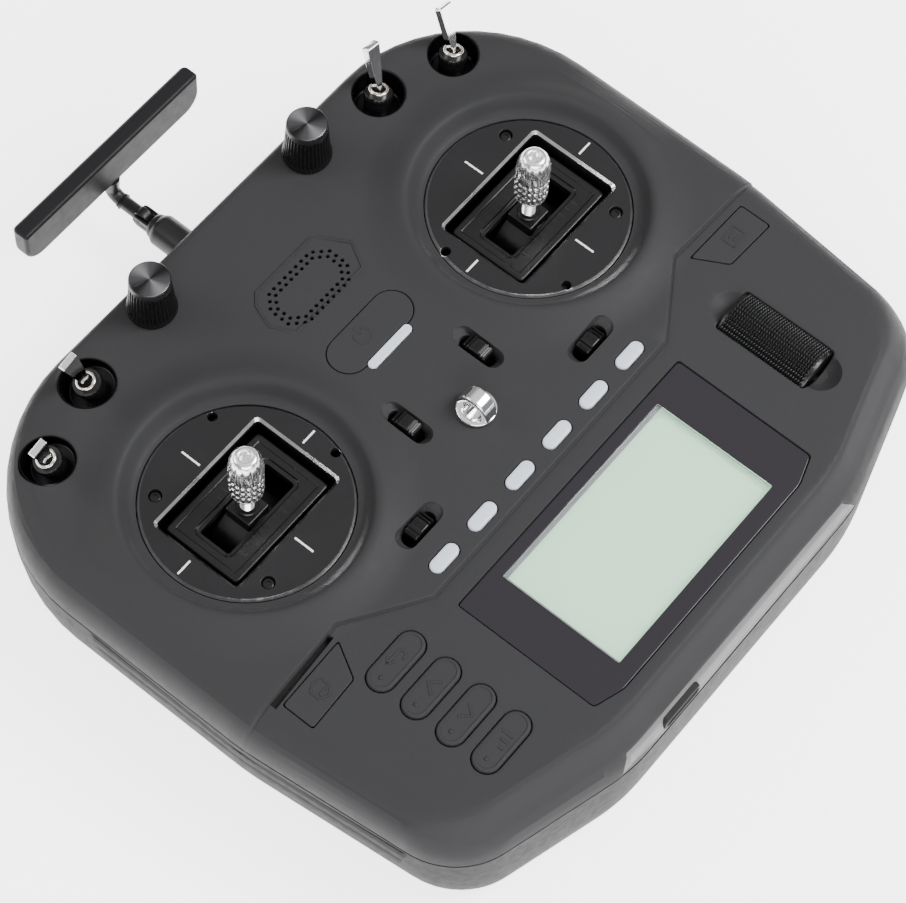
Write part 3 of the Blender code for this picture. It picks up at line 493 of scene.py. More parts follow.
def show(name, bm, materials, body, replaces=(), place=None, sharp=40, weighted=True):
    """Turns a bmesh in millimetres into a finished piece that rides on a body."""
    bmesh.ops.remove_doubles(bm, verts=bm.verts, dist=1e-5)
    if place is not None:
        bmesh.ops.transform(bm, matrix=place, verts=bm.verts)
    bmesh.ops.recalc_face_normals(bm, faces=bm.faces)
    bmesh.ops.scale(bm, vec=(MM, MM, MM), verts=bm.verts)
    mesh = bpy.data.meshes.new(name)
    bm.to_mesh(mesh)
    bm.free()
    mesh.shade_smooth()
    mesh.set_sharp_from_angle(angle=radians(sharp))
    piece = bpy.data.objects.new(name, mesh)
    bpy.context.scene.collection.objects.link(piece)
    for material in materials if isinstance(materials, (list, tuple)) else [materials]:
        mesh.materials.append(material)
    if weighted:
        normals = piece.modifiers.new("weighted_normals", "WEIGHTED_NORMAL")
        normals.keep_sharp = True
    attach(piece, body)
    if replaces:
        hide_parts(*replaces)
    return piece


def loft(rings, closed=False, bm=None):
    """Faces through rings of equal length, capped at both ends, or joined last to first when closed."""
    bm = bm or bmesh.new()
    rows = [[bm.verts.new(p) for p in ring] for ring in rings]
    for lower, upper in zip(rows, rows[1:] + (rows[:1] if closed else [])):
        for k in range(len(lower)):
            n = (k + 1) % len(lower)
            bm.faces.new((lower[k], lower[n], upper[n], upper[k]))
    if not closed:
        bm.faces.new(reversed(rows[0]))
        bm.faces.new(rows[-1])
    return bm


def turned(profile, steps=48, place=Matrix.Identity(4), closed=False, wave=None, bm=None):
    """A body of revolution about local Z; wave(angle, row) adds to the radius."""
    rings = []
    for row, (radius, z) in enumerate(profile):
        ring = []
        for k in range(steps):
            a = 2 * pi * k / steps
            r = radius + (wave(a, row) if wave else 0.0)
            ring.append(place @ Vector((r * cos(a), r * sin(a), z)))
        rings.append(ring)
    return loft(rings, closed, bm)


def rounded_prism(shape, z0, z1, top=0.4, foot=0.0, steps=4, place=Matrix.Identity(4), bm=None):
    """A prism from a shape, with its top edge, and its lower one if foot is given, rounded."""
    angles = [pi / 2 * k / steps for k in range(steps + 1)]
    levels = [(0.0, z0)]
    if foot:
        levels = [(foot * (1 - sin(a)), z0 + foot * (1 - cos(a))) for a in angles]
    levels += [(top * (1 - cos(a)), z1 - top * (1 - sin(a))) for a in angles]
    return loft([[place @ Vector((x, y, z)) for x, y in shape(inset)] for inset, z in levels], bm=bm)


class Field:
    """A plate seen along its height: outlines with rounded holes, meshed, raised and closed below."""

    def __init__(self, outline):
        self.outline = outline
        self.points, self.edges, self.cuts, self.spots = [], [], [], []
        self.line(outline)

    def line(self, points, closed=True):
        first, count = len(self.points), len(points)
        self.points += [Vector(p[:2]) for p in points]
        last = count if closed else count - 1
        self.edges += [(first + k, first + (k + 1) % count) for k in range(last)]

    def lines(self, shape, insets):
        for inset in insets:
            self.line(shape(inset))

    def cut(self, shape, edge=0.3):
        """A hole whose rim is rounded over the width edge."""
        self.lines(shape, (-edge, -edge * 0.3, 0.0) if edge else (0.0,))
        self.cuts.append((shape(0.0), edge))

    def fill(self, spacing):
        """Free points on a grid over the whole outline."""
        box = np.array(self.outline)
        for x in np.arange(box[:, 0].min(), box[:, 0].max(), spacing):
            for y in np.arange(box[:, 1].min(), box[:, 1].max(), spacing):
                self.points.append(Vector((x, y)))

    def spot(self, outline, index):
        """A patch with its own material."""
        self.line(outline)
        self.spots.append((outline, index))

    def build(self, top, bottom, keep=None):
        """Top and bottom are a height, or give heights from the points; keep(centres) can drop faces."""
        found = delaunay_2d_cdt(self.points, self.edges, [], 0, 1e-6)
        points = np.array([tuple(v) for v in found[0]])
        faces = np.array([f for f in found[2] if len(f) == 3])
        centres = points[faces].mean(axis=1)
        kept = inside(centres, self.outline)
        for outline, _ in self.cuts:
            kept &= ~inside(centres, outline)
        if keep is not None:
            kept &= keep(centres)
        faces, centres = faces[kept], centres[kept]
        material = np.zeros(len(faces), int)
        for outline, index in self.spots:
            material[inside(centres, outline)] = index
        used, faces = np.unique(faces, return_inverse=True)
        faces = faces.reshape(-1, 3)
        points = points[used]
        heights = top(points) if callable(top) else np.full(len(points), top)
        for outline, edge in self.cuts:
            if edge:
                box = np.array(outline)
                near = np.all((points > box.min(0) - edge) & (points < box.max(0) + edge), axis=1)
                d = np.clip(distance(points[near], outline), 0, edge)
                heights[near] -= edge - np.sqrt(np.maximum(edge**2 - (edge - d) ** 2, 0))
        lower = bottom(points, heights) if callable(bottom) else np.full(len(points), bottom)
        return self.close(points, faces, heights, lower, material)

    @staticmethod
    def close(points, faces, heights, lower, material):
        bm = bmesh.new()
        upper = [bm.verts.new((x, y, z)) for (x, y), z in zip(points, heights)]
        under = [bm.verts.new((x, y, z)) for (x, y), z in zip(points, lower)]
        ways = set()
        for (a, b, c), index in zip(faces.tolist(), material.tolist()):
            bm.faces.new((upper[a], upper[b], upper[c])).material_index = index
            bm.faces.new((under[c], under[b], under[a]))
            ways.update(((a, b), (b, c), (c, a)))
        for a, b in ways:
            if (b, a) not in ways:
                bm.faces.new((upper[b], upper[a], under[a], under[b]))
        return bm


def rim_height(points, levels, outlines):
    """Height of a shell whose nested outlines step up, or down, from its open edge."""
    depths = [depth_in(points, outline) for outline in outlines]
    heights = np.full(len(points), float(levels[0][0]))
    for k in range(len(levels) - 1):
        here = depths[k] >= -1e-6
        span = np.maximum(depths[k], 0) + np.maximum(-depths[k + 1], 0)
        t = np.clip(np.maximum(depths[k], 0) / np.maximum(span, 1e-9), 0, 1)
        heights = np.where(here, levels[k][0] + t * (levels[k + 1][0] - levels[k][0]), heights)
    return np.where(depths[-1] >= 0, levels[-1][0], heights)


def finer(levels, steps):
    return [tuple(p) for p in curve_through(levels, steps)]


# ---------------------------------------------------------------- top shell


def toggle_frame(name):
    """Local frame of a toggle switch: origin on the floor of its well, Z along its bush."""
    x, y, _, _ = TOGGLES[name]
    out = radians(TOGGLE_TILT_OUT) * (1 if x > 0 else -1)
    turn = Matrix.Rotation(out, 4, "Y") @ Matrix.Rotation(-radians(TOGGLE_TILT_BACK), 4, "X")
    return Matrix.Translation((x, y, FACE_Z)) @ turn @ Matrix.Translation((0, 0, -WELL_DEPTH))


def well_outline(name, radius, height):
    """Where the wall of a toggle's well meets a level plane."""
    place = toggle_frame(name)
    axis = (place.to_3x3() @ Vector((0, 0, 1))).normalized()
    outline = []
    for x, y in circle((0, 0), radius, 40):
        p = place @ Vector((x, y, 0))
        p += axis * ((height - p.z) / axis.z)
        outline.append((p.x, p.y))
    return outline


def side_key_outline(mirror, inset):
    """A four-sided key outline beside the face's edge; the right one mirrors the left one."""
    points = list(SIDE_KEY)
    if mirror > 0:
        points = [(-x, y) for x, y in reversed(points)]
    return soften(draw_in(points, [inset] * 4), 1.0, 3, closed=True)


def screen_outline(inset):
    return soften(draw_in(SCREEN, [inset] * 6), 1.2, 3, closed=True)


def face_height(points):
    """The upper and the lower part of the face, with the step between them."""
    ahead = distance(points, STEP_LINE, closed=False)
    below = inside(points, [(-130, -120), (130, -120)] + list(STEP_LINE[::-1]))
    t = np.clip(0.5 + np.where(below, -ahead, ahead) / 0.5, 0, 1)
    return LOWER_FACE_Z + t * (FACE_Z - LOWER_FACE_Z)


def raise_ring(points, z, side):
    """The soft ring round a stick: a hollow slope inside its crest, a swelling of the face outside it."""
    r = np.hypot(points[:, 0] - side * GIMBAL_X, points[:, 1] - GIMBAL_Y)
    table = np.array(curve_through(RING_PROFILE, 6))
    ring = np.interp(r, table[:, 0], table[:, 1])
    blend = np.clip((r - 37.0) / 7.0, 0, 1)
    return np.where(r < RING_PROFILE[-1][0], ring + blend * (z - FACE_Z), z)


def scoop_height(points, centre, radius, depth):
    """Floor of a ball-shaped hollow in the lower part of the face."""
    r = np.hypot(points[:, 0] - centre[0], points[:, 1] - centre[1])
    ball = (radius**2 + depth**2) / (2 * depth)
    return LOWER_FACE_Z - (np.sqrt(np.maximum(ball**2 - r**2, 0)) - (ball - depth))


def trim_scoop(points, x, y, upright):
    """A slot with steep sides: its floor is a ramp at one end and nearly flat at the other."""
    along = points[:, 1] - y if upright else points[:, 0] - x
    share = along / (TRIM_SLOT[0] / 2)
    floor = 3.2 * np.clip(1 - np.abs(share) ** np.where(share > 0, 2.0, 9.0), 0, 1)
    wall = np.clip(depth_in(points, pill((x, y), *TRIM_SLOT, upright)), 0, 1) * 4.0
    return np.minimum(floor, wall)


SPEAKER_RIM = ((-14.8, 67.5), (-17.6, 60.2), (-14.1, 52.9), (15.0, 52.3), (19.4, 60.0), (15.0, 67.7),
               (12.0, 70.4), (-11.4, 70.4))


def speaker_holes():
    """Two rows of small holes around a long octagon."""
    holes = []
    for reach_x, reach_y, count in ((11.4, 5.6, 26), (13.2, 7.4, 30)):
        cut = reach_y * 0.55
        quarter = [(reach_x - cut, reach_y), (reach_x, reach_y - cut)]
        half = [(-x, -y) for x, y in reversed(quarter)] + [(x, -y) for x, y in quarter]
        path = half + [(-x, -y) for x, y in half]
        sides = list(zip(path, path[1:] + path[:1]))
        lengths = [np.hypot(b[0] - a[0], b[1] - a[1]) for a, b in sides]
        for k in range(count):
            left = sum(lengths) * k / count
            for (a, b), length in zip(sides, lengths):
                if left <= length:
                    t = left / length
                    holes.append((a[0] + (b[0] - a[0]) * t, SPEAKER_Y + a[1] + (b[1] - a[1]) * t))
                    break
                left -= length
    return holes


def strip_seat():
    """Seen from above, the gap in the front edge that the strip fills; its ends slant."""
    x0, x1, top = STRIP
    top_y = FRONT_Y + np.interp(top + GAP, [v[0] for v in TOP_LEVELS], [v[2] for v in TOP_LEVELS])
    ahead = FRONT_Y - 1.0
    return [(x0 - GAP, ahead), (x1 + GAP, ahead), (x1 + GAP, FRONT_Y), (x1 - STRIP_SLANT + GAP, top_y),
            (x0 + STRIP_SLANT - GAP, top_y), (x0 - GAP, FRONT_Y)]


def top_shell():
    levels = finer(TOP_LEVELS, 2)
    outlines = [case_outline(*level[1:]) for level in levels]
    field = Field(outlines[0])
    for outline in outlines[1:]:
        field.line(outline)
    for wall in (3.2, 3.6):
        field.line(case_outline(wall, wall, wall))
    for shift in (-0.6, -0.3, 0.0, 0.3, 0.6):
        field.line([(x, y + shift) for x, y in STEP_LINE], closed=False)
    ring_radii = [p[0] for p in curve_through(RING_PROFILE, 3)][1:]
    for side in (-1, 1):
        centre = (side * GIMBAL_X, GIMBAL_Y)
        for r in ring_radii:
            field.line(circle(centre, r, 96))
        field.cut(circle_shape(centre, PLATE_RADIUS + 0.35, 96), 0.0)
    for x in FUNCTION_KEYS_X:
        field.cut(pill_shape((x, FUNCTION_KEYS_Y), FUNCTION_KEY, GAP))
    for y in PAGE_KEYS_Y:
        field.cut(pill_shape((PAGE_KEYS_X, y), PAGE_KEY, GAP))
    field.cut(power_hole, 0.2)
    for mirror in (1, -1):
        field.cut(lambda inset, m=mirror: side_key_outline(m, inset - GAP), 0.2)
        field.cut(circle_shape((mirror * DIALS_X, DIALS_Y), DIAL_HOLE_RADIUS, 20), 0.0)
    field.cut(lambda inset: screen_outline(inset - GAP), 0.2)
    field.cut(centred_box(*WHEEL, *WHEEL_OPENING, 1.2, 1.0, 4), 0.5)
    for x, y, upright in TRIMS.values():
        for less in (-2.4, -0.6, 0.0, 0.3, 0.8):
            field.line(dense(pill((x, y), TRIM_SLOT[0] - less, TRIM_SLOT[1] - less, upright), 0.6))
        field.cut(fixed(dense(pill((x, y), *TRIM_HOLE, upright), 0.8)), 0.0)
    for name, (_, _, radius, _) in TOGGLES.items():
        field.cut(lambda inset, n=name, r=radius: well_outline(n, r + 0.3 - inset, FACE_Z), 0.5)
    field.fill(4.0)
    for hole in speaker_holes():
        field.cut(circle_shape(hole, 0.62, 10), 0.12)
    field.lines(drawn_shape(SPEAKER_RIM), (0.45, 0.2, -0.2, -0.45))
    for y, radius, _ in WHEEL_SCOOPS:
        for share in (1.0, 0.9, 0.75, 0.55, 0.3):
            field.line(circle((WHEEL[0], y), radius * share, 40))
    field.cut(drawn_shape(NOTCH), 0.15)
    seat = strip_seat()
    field.line(seat)

    def height(points):
        z = rim_height(points, levels, outlines)
        scale = (face_height(points) - SHELL_BOTTOM_Z) / (FACE_Z - SHELL_BOTTOM_Z)
        z = SHELL_BOTTOM_Z + (z - SHELL_BOTTOM_Z) * scale
        for side in (-1, 1):
            z = raise_ring(points, z, side)
        for y, radius, depth in WHEEL_SCOOPS:
            z = np.minimum(z, scoop_height(points, (WHEEL[0], y), radius, depth))
        for x, y, upright in TRIMS.values():
            z = z - trim_scoop(points, x, y, upright)
        crease = np.abs(points[:, 1] - np.interp(points[:, 0], *zip(*STEP_LINE)))
        z = z - 0.45 * np.clip(1 - crease / 0.55, 0, 1)
        rim = np.abs(depth_in(points, SPEAKER_RIM))
        return z + 0.4 * np.clip((0.45 - rim) / 0.25, 0, 1)

    def under(points, heights):
        deep = depth_in(points, outlines[0])
        return np.where(deep < TOP_RIM_WIDTH, SHELL_BOTTOM_Z, np.minimum(CEILING_Z, heights - TOP_WALL))

    floor = rounded_prism(drawn_shape(NOTCH, 0.5), CEILING_Z - 0.8, CEILING_Z - 0.1, top=0.1)
    show("notch_floor", floor, DARK, "case")
    bm = field.build(height, under, lambda centres: ~inside(centres, seat))
    show("top_shell_skin", bm, CASE, "case", ["top_shell"], sharp=50)


def power_outline(width, room, last):
    """The power key's pill, led round the light bar: below it or above it, by the last angle."""
    reach = (POWER_KEY[0] - POWER_KEY[1]) / 2
    bar_reach = (LIGHT_BAR[0] - LIGHT_BAR[1]) / 2
    rise = (POWER_Y - width - LIGHT_BAR_Y) / room
    first = pi - asin(max(min(rise, 0.999), -0.999))
    bay = []
    for k in range(9):
        a = first + (last - first) * k / 8
        bay.append((-bar_reach + room * cos(a), LIGHT_BAR_Y + room * sin(a)))
    bay += [(-x, y) for x, y in reversed(bay)]
    return arc((reach, POWER_Y), width, -90, 90, 12) + arc((-reach, POWER_Y), width, 90, 270, 12) + bay


def power_hole(inset):
    """The hole takes in the key and the bar."""
    room = GAP - inset
    return power_outline(POWER_KEY[1] / 2 + room, LIGHT_BAR[1] / 2 + room, 1.5 * pi)


def power_shape(inset):
    """The key leaves a bay for the bar."""
    return power_outline(POWER_KEY[1] / 2 - inset, LIGHT_BAR[1] / 2 + GAP + inset, 0.5 * pi)


# ---------------------------------------------------------------- lower case, strip and grips


def at_height(levels, z):
    """How far the sides, the front and the back draw in at a height."""
    rows = sorted(levels)
    return [float(np.interp(z, [row[0] for row in rows], [row[k] for row in rows])) for k in (1, 2, 3)]


def side_x(y, z, levels):
    """Half width of the case at a place along its side."""
    half = sorted((p[1], p[0]) for p in case_outline(*at_height(levels, z)) if p[0] > 60)
    return float(np.interp(y, *zip(*half)))


def front_y(x, z, levels):
    """Where the front edge is at a place along it."""
    half = sorted(p for p in case_outline(*at_height(levels, z)) if p[1] < -60)
    return float(np.interp(x, *zip(*half)))


def screw(name, place, radius, height):
    """A socket screw's head: a low dome with a six-sided hole."""
    field = Field(circle((0, 0), radius, 24))
    hexagon = [circle((0, 0), radius * share, 6) for share in (0.55, 0.5)]
    for outline in hexagon + [circle((0, 0), radius * share, 24) for share in (0.9, 0.75)]:
        field.line(outline)

    def top(points):
        r = np.hypot(points[:, 0], points[:, 1]) / radius
        z = height * (1 - 0.5 * np.clip(r - 0.7, 0, 1) ** 2 / 0.09)
        return np.where(depth_in(points, hexagon[1]) > -1e-6, 0.1, z)

    show(name, field.build(top, -2.5), BLACK, "case", place=place, sharp=35)


REAR_SCREWS = tuple((sx * x, y) for x, y in ((88.0, 72.0), (92.0, -4.0), (84.0, -70.0)) for sx in (-1, 1))
FEET = tuple((sx * x, y) for x, y in ((62.0, 84.0), (70.0, -82.0)) for sx in (-1, 1))


def bottom_shell():
    """Side walls as one turned-in band."""
    levels = finer(BOTTOM_LEVELS, 3)
    rings = []
    for z, *draws in levels + [(0.0, *[d + 1.0 for d in BOTTOM_LEVELS[-1][1:]])]:
        rings.append([(x, y, z) for x, y in case_outline(*draws)])
    for z, *draws in [(2.6, 11.0, 7.0, 9.5)] + [v for v in reversed(levels) if v[0] > 2.8]:
        rings.append([(x, y, z) for x, y in case_outline(*[d + WALL for d in draws])])
    rings[-1] = [(x, y, SEAM_Z) for x, y, _ in rings[-1]]
    bm = loft(rings, closed=True)
    show("bottom_shell_wall", bm, SHELL, "case", ["bottom_shell"], sharp=50)


def rear_cover():
    """The flat cover that fills the wall's band, with its screws, pads and doors."""
    field = Field(case_outline(*[d + 1.05 for d in BOTTOM_LEVELS[-1][1:]]))
    for x0, x1, y0, y1 in REAR_DOORS.values():
        field.cut(box_shape(x0 - GAP, x1 + GAP, y0 - GAP, y1 + GAP, 1.5, 1.0))
    for centre in REAR_SCREWS:
        field.cut(circle_shape(centre, 3.0, 24))
    for k in range(7):
        field.cut(fixed(pill((8.0 * (k - 3), VENTS_Y), 3.0, 1.2)), 0.0)
    bm = field.build(0.0, -COVER_THICKNESS)
    show("rear_cover", bm, CASE, "case", ["bottom_shell"], place=FLIP)
    for k, (x, y) in enumerate(REAR_SCREWS):
        place = Matrix.Translation((x, y, 1.6)) @ Matrix.Rotation(pi, 4, "X")
        screw(f"rear_screw_{k + 1}", place, 2.6, 0.9)
    for k, centre in enumerate(FEET):
        pad = rounded_prism(pill_shape(centre, (18.0, 6.0)), 0.0, 0.6, top=0.3)
        show(f"rear_pad_{k + 1}", pad, RUBBER, "case")
    for (node, (x0, x1, y0, y1)), way in zip(REAR_DOORS.items(), (-1, 1)):
        edge = round_box(x0, x1, y0, y1, 1.2)
        field = Field(edge)
        field.line(round_box(x0 + 0.3, x1 - 0.3, y0 + 0.3, y1 - 0.3, 1.0))
        grooves = []
        for k in range(6):
            centre = (0, (y0 + y1) / 2 + way * 24.0 + 2.4 * (k - 2.5))
            grooves.append(pill(centre, 26.0, 1.3, steps=6))
            field.line(grooves[-1])
            field.line(pill(centre, 25.4, 0.7, steps=6))

        def top(points, grooves=grooves, edge=edge):
            z = -near_line(points, edge, 0.3)
            for groove in grooves:
                z = z - np.clip(depth_in(points, groove), 0, 0.3) * 2.4
            return z

        bm = field.build(top, -DOOR_THICKNESS)
        show(node + "_panel", bm, CASE, "case", [node], place=FLIP)


def front_strip():
    """The rough band let into the front edge, with the charging port's slot."""
    x0, x1, top_z = STRIP
    z0 = SHELL_BOTTOM_Z
    outline = [(x0, z0), (x1, z0), (x1 - STRIP_SLANT, top_z), (x0 + STRIP_SLANT, top_z)]
    field = Field(dense(outline, 3.0))
    field.lines(drawn_shape(outline), (0.12, 0.3))
    line_z = z0 + 1.3
    for z, short in ((line_z - 0.2, 1.5), (line_z, 1.5), (line_z + 0.2, 1.5), (34.4, 6.0), (36.8, 6.0)):
        field.line([(x0 + short, z), (x1 - short, z)], closed=False)
    field.cut(box_shape(*PORT_X, *PORT_Z, 1.5, 1.0), 0.15)
    field.fill(2.5)

    def top(points):
        heights = np.array([-front_y(x, z, TOP_LEVELS) for x, z in points])
        groove = np.clip(0.2 - np.abs(points[:, 1] - line_z), 0, 0.2)
        return heights - groove - near_line(points, outline, 0.3) ** 2 * 2

    outward = Matrix(((1, 0, 0, 0), (0, 0, -1, 0), (0, 1, 0, 0), (0, 0, 0, 1)))
    bm = field.build(top, lambda points, heights: heights - 2.0)
    show("front_strip_skin", bm, STRIP_ROUGH, "case", ["front_strip"], place=outward)
    sleeve = box_shape(*PORT_X, *PORT_Z, 1.4)
    walls = ((0.15, 100.6), (0.75, 100.9), (0.85, 100.2), (0.85, 93.5), (0.15, 93.2))
    rings = [[outward @ Vector((x, z, y)) for x, z in sleeve(inset)] for inset, y in walls]
    show("port_sleeve", loft(rings, closed=True), DARK, "case", sharp=30)
    middle = (sum(PORT_X) / 2, sum(PORT_Z) / 2)
    bm = rounded_prism(pill_shape(middle, (8.0, 0.9), steps=6), 92.0, 97.0, top=0.2, place=outward)
    show("port_tongue", bm, BLACK, "case")
    bm = rounded_prism(lambda inset: sleeve(0.2 + inset), 90.0, 92.9, top=0.05, place=outward)
    show("port_back", bm, DARK, "case")


def side_patch(name, word, margin, out, thickness, material, replaces=()):
    """A panel on the lower side wall, bent along with it."""
    box = (GRIP_Y[0] - margin, GRIP_Y[1] + margin, GRIP_Z[0] - margin, GRIP_Z[1] + margin)
    outline = round_box(*box, 1.5)
    field = Field(dense(outline, 4.0))
    field.lines(box_shape(*box, 1.3), (0.15, 0.4))
    field.fill(2.4)

    def top(points):
        heights = np.array([side_x(y, z, BOTTOM_LEVELS) for y, z in points])
        return heights + out - near_line(points, outline, 0.4) ** 2 * 1.5

    way = 1 if word == "right" else -1
    outward = Matrix(((0, 0, way, 0), (1, 0, 0, 0), (0, 1, 0, 0), (0, 0, 0, 1)))
    bm = field.build(top, lambda points, heights: heights - thickness)
    show(name, bm, material, "case", replaces, place=outward)


def side_grips():
    for word in ("left", "right"):
        node = word + "_side_grip"
        side_patch(node + "_panel", word, 0.0, 0.05, 1.2, GRIP, [node])
        side_patch(node + "_seam", word, 0.35, -0.02, 0.6, DARK)


# ---------------------------------------------------------------- screen


def screen():
    """The tinted lens with a clear window, grey strips along the window's top and left edges that paint the
    shadow of the lens border on the display, and the lit display.
    """
    x0, x1, y0, y1 = DISPLAY
    bottom = LENS_TOP_Z - 1.4
    field = Field(screen_outline(0))
    field.lines(screen_outline, (0.1, 0.3))
    field.cut(box_shape(*DISPLAY, 0.4), 0.1)
    bm = field.build(lambda points: LENS_TOP_Z - near_line(points, screen_outline(0), 0.3) ** 2 * 2, bottom)
    show("lens_border", bm, LENS, "case", ["screen_lens"])
    # Painted shadow: two thin grey strips just under the lens, along the window's top and left edges.
    wide = 1.4
    bm = bmesh.new()
    for box in ((x0 + 0.1, x1 - 0.1, y1 - wide, y1 - 0.1),
                (x0 + 0.1, x0 + wide * 0.6, y0 + 0.1, y1 - wide - 0.1)):
        rounded_prism(box_shape(*box, 0.1), bottom + 0.02, bottom + 0.2, top=0.15, bm=bm)
    show("lens_painted_shadow", bm, PAINTED_LENS_SHADOW, "case")
    pane = fixed(round_box(x0 + 0.02, x1 - 0.02, y0 + 0.02, y1 - 0.02, 0.4))
    bm = rounded_prism(pane, bottom + 0.3, LENS_TOP_Z - 0.12, top=0.02)
    show("lens_window", bm, GLASS, "case")
    bm = rounded_prism(box_shape(-39.5, 39.5, -84.0, -38.0, 1.0), 39.4, 43.0, top=0.3)
    show("display_glass", bm, LCD, "case", ["display_panel"])


# ---------------------------------------------------------------- sticks


def gimbal_plate(side, word):
    """A stick unit's round plate; the right one is the left one turned half round."""
    def at(dx, dy):
        return (side * (GIMBAL_X - dx), GIMBAL_Y - side * dy)

    centre = at(0, 0)
    window = centred_box(*centre, *WINDOW, 1.5, 0.4)
    rim, bevel = PLATE_RADIUS, 0.75
    field = Field(circle(centre, rim, 96))
    field.spot(circle(centre, rim, 96), 1)
    field.spot(circle(centre, rim - bevel, 96), 0)
    field.spot(window(-bevel), 1)
    field.cut(window, 0.0)
    for dx, dy, length, width in ((-26.7, 0, 5.2, 0.6), (26.7, 0, 5.2, 0.6),
                                  (0, 20.85, 0.6, 6.7), (0, -20.85, 0.6, 6.7)):
        x, y = centre[0] + dx, centre[1] + dy
        field.spot(rectangle(x - length / 2, x + length / 2, y - width / 2, y + width / 2), 2)
    screws = [at(-15.2, 20.8), at(-15.2, -20.8)]
    for place in screws:
        field.cut(circle_shape(place, 2.0, 24), 0.25)
    for place in (at(14.0, 25.0), at(27.8, -9.0)):
        field.cut(circle_shape(place, 1.5, 20), 0.15)

    def top(points):
        r = np.hypot(points[:, 0] - centre[0], points[:, 1] - centre[1])
        z = PLATE_TOP_Z - np.clip(r - (rim - bevel), 0, bevel)
        return z - np.clip(bevel - np.maximum(-depth_in(points, window(0)), 0), 0, bevel)

    bm, node = field.build(top, PLATE_BOTTOM_Z), word + "_gimbal_plate"
    show(word + "_stick_plate", bm, [PLATE, EDGE, WHITE], "case", [node], sharp=25)
    for k, (x, y) in enumerate(screws):
        screw(f"{word}_plate_screw_{k + 1}", Matrix.Translation((x, y, 44.1)), 1.75, 0.5)


def gimbal_cradle(side, word):
    """The flat-topped cradle: a lip round it, a slot for the stick, a scale beside the slot and two legs."""
    x, y = side * GIMBAL_X, GIMBAL_Y
    slot = centred_box(x, y, *SLOT, 0.8, 0.5)
    edge = centred_box(x, y, *CRADLE, 1.6)(0)
    border = ((0.0, -0.9), (0.15, -0.5), (0.4, -0.2), (0.8, 0.0), (2.2, 0.0), (2.5, -0.1), (2.7, -0.35))
    lip = ((1.1, 0.6), (1.35, 0.5), (1.6, 0.0))
    field = Field(edge)
    for inset, _ in border[1:]:
        field.line(dense(centred_box(x, y, *CRADLE, max(1.6 - inset * 0.5, 0.4))(inset), 2.0))
    for away, _ in reversed(lip):
        field.line(dense(slot(-away), 2.0))
    for k in range(-4, 5):
        for way in (-1, 1):
            reach = 2.6 if k % 2 == 0 else 1.6
            low, high = sorted((way * 6.9, way * (6.9 + reach)))
            field.spot(rectangle(x + 2.9 * k - 0.15, x + 2.9 * k + 0.15, y + low, y + high), 1)
    field.cut(slot)
    field.fill(2.0)

    def top(points):
        z = CRADLE_TOP_Z + np.interp(np.maximum(depth_in(points, edge), 0), *zip(*border))
        return z - np.interp(np.maximum(-depth_in(points, slot(0)), 0), *zip(*lip))

    node, body = word + "_gimbal_cradle", word + "_cradle"
    bm = field.build(top, CRADLE_BOTTOM_Z)
    show(word + "_cradle_plate", bm, [BLACK, DARK], body, [node], sharp=45)
    bm = bmesh.new()
    for way in (-1, 1):
        inner, outer = sorted((x + way * 17.8, x + way * 20.2))
        rounded_prism(fixed(round_box(inner, outer, y - 13.2, y + 13.2, 0.6)), 22.0, 38.5, bm=bm)
        across = Matrix.Translation((x, y, PIVOT_Z)) @ Matrix.Rotation(way * pi / 2, 4, "Y")
        turned(((2.5, 19.0), (2.5, 26.0), (2.1, 26.4)), 24, across, bm=bm)
    show(word + "_cradle_legs", bm, SATIN, body)


def stick(side, word):
    """A stick on its round block: square foot, threaded rod and knurled end."""
    x, y, body = side * GIMBAL_X, GIMBAL_Y, word + "_stick"
    upright = Matrix.Translation((x, y, 0))
    along_y = Matrix.Translation((x, y, PIVOT_Z)) @ Matrix.Rotation(pi / 2, 4, "X")
    dome = lambda inset: arc((0, 0), STICK_DOME_RADIUS - inset, -12, 192, 60)
    bm = rounded_prism(dome, -4.9, 4.9, top=0.5, foot=0.5, place=along_y)
    show(word + "_stick_dome", bm, BLACK, body, [word + "_stick"], sharp=35)
    bm = rounded_prism(centred_box(x, y, 9.0, 9.0, 0.7, 0.5), 36.0, CRADLE_TOP_Z + 0.4, top=0.5)
    turned(((3.4, 42.0), (3.4, 42.9), (3.1, 43.2), (2.3, 43.2), (2.3, 42.5)), 32, upright, bm=bm)
    show(word + "_stick_block", bm, BLACK, body)
    thread = [(1.9, 42.6)]
    for k in range(15):
        z = 43.4 + k * 0.55
        thread += [(2.1, z), (1.8, z + 0.27)]
    bm = turned(thread + [(1.8, 54.0)], 24, upright)
    show(word + "_stick_rod", bm, ALLOY, body, sharp=60)
    stick_end(x, y, word, body)


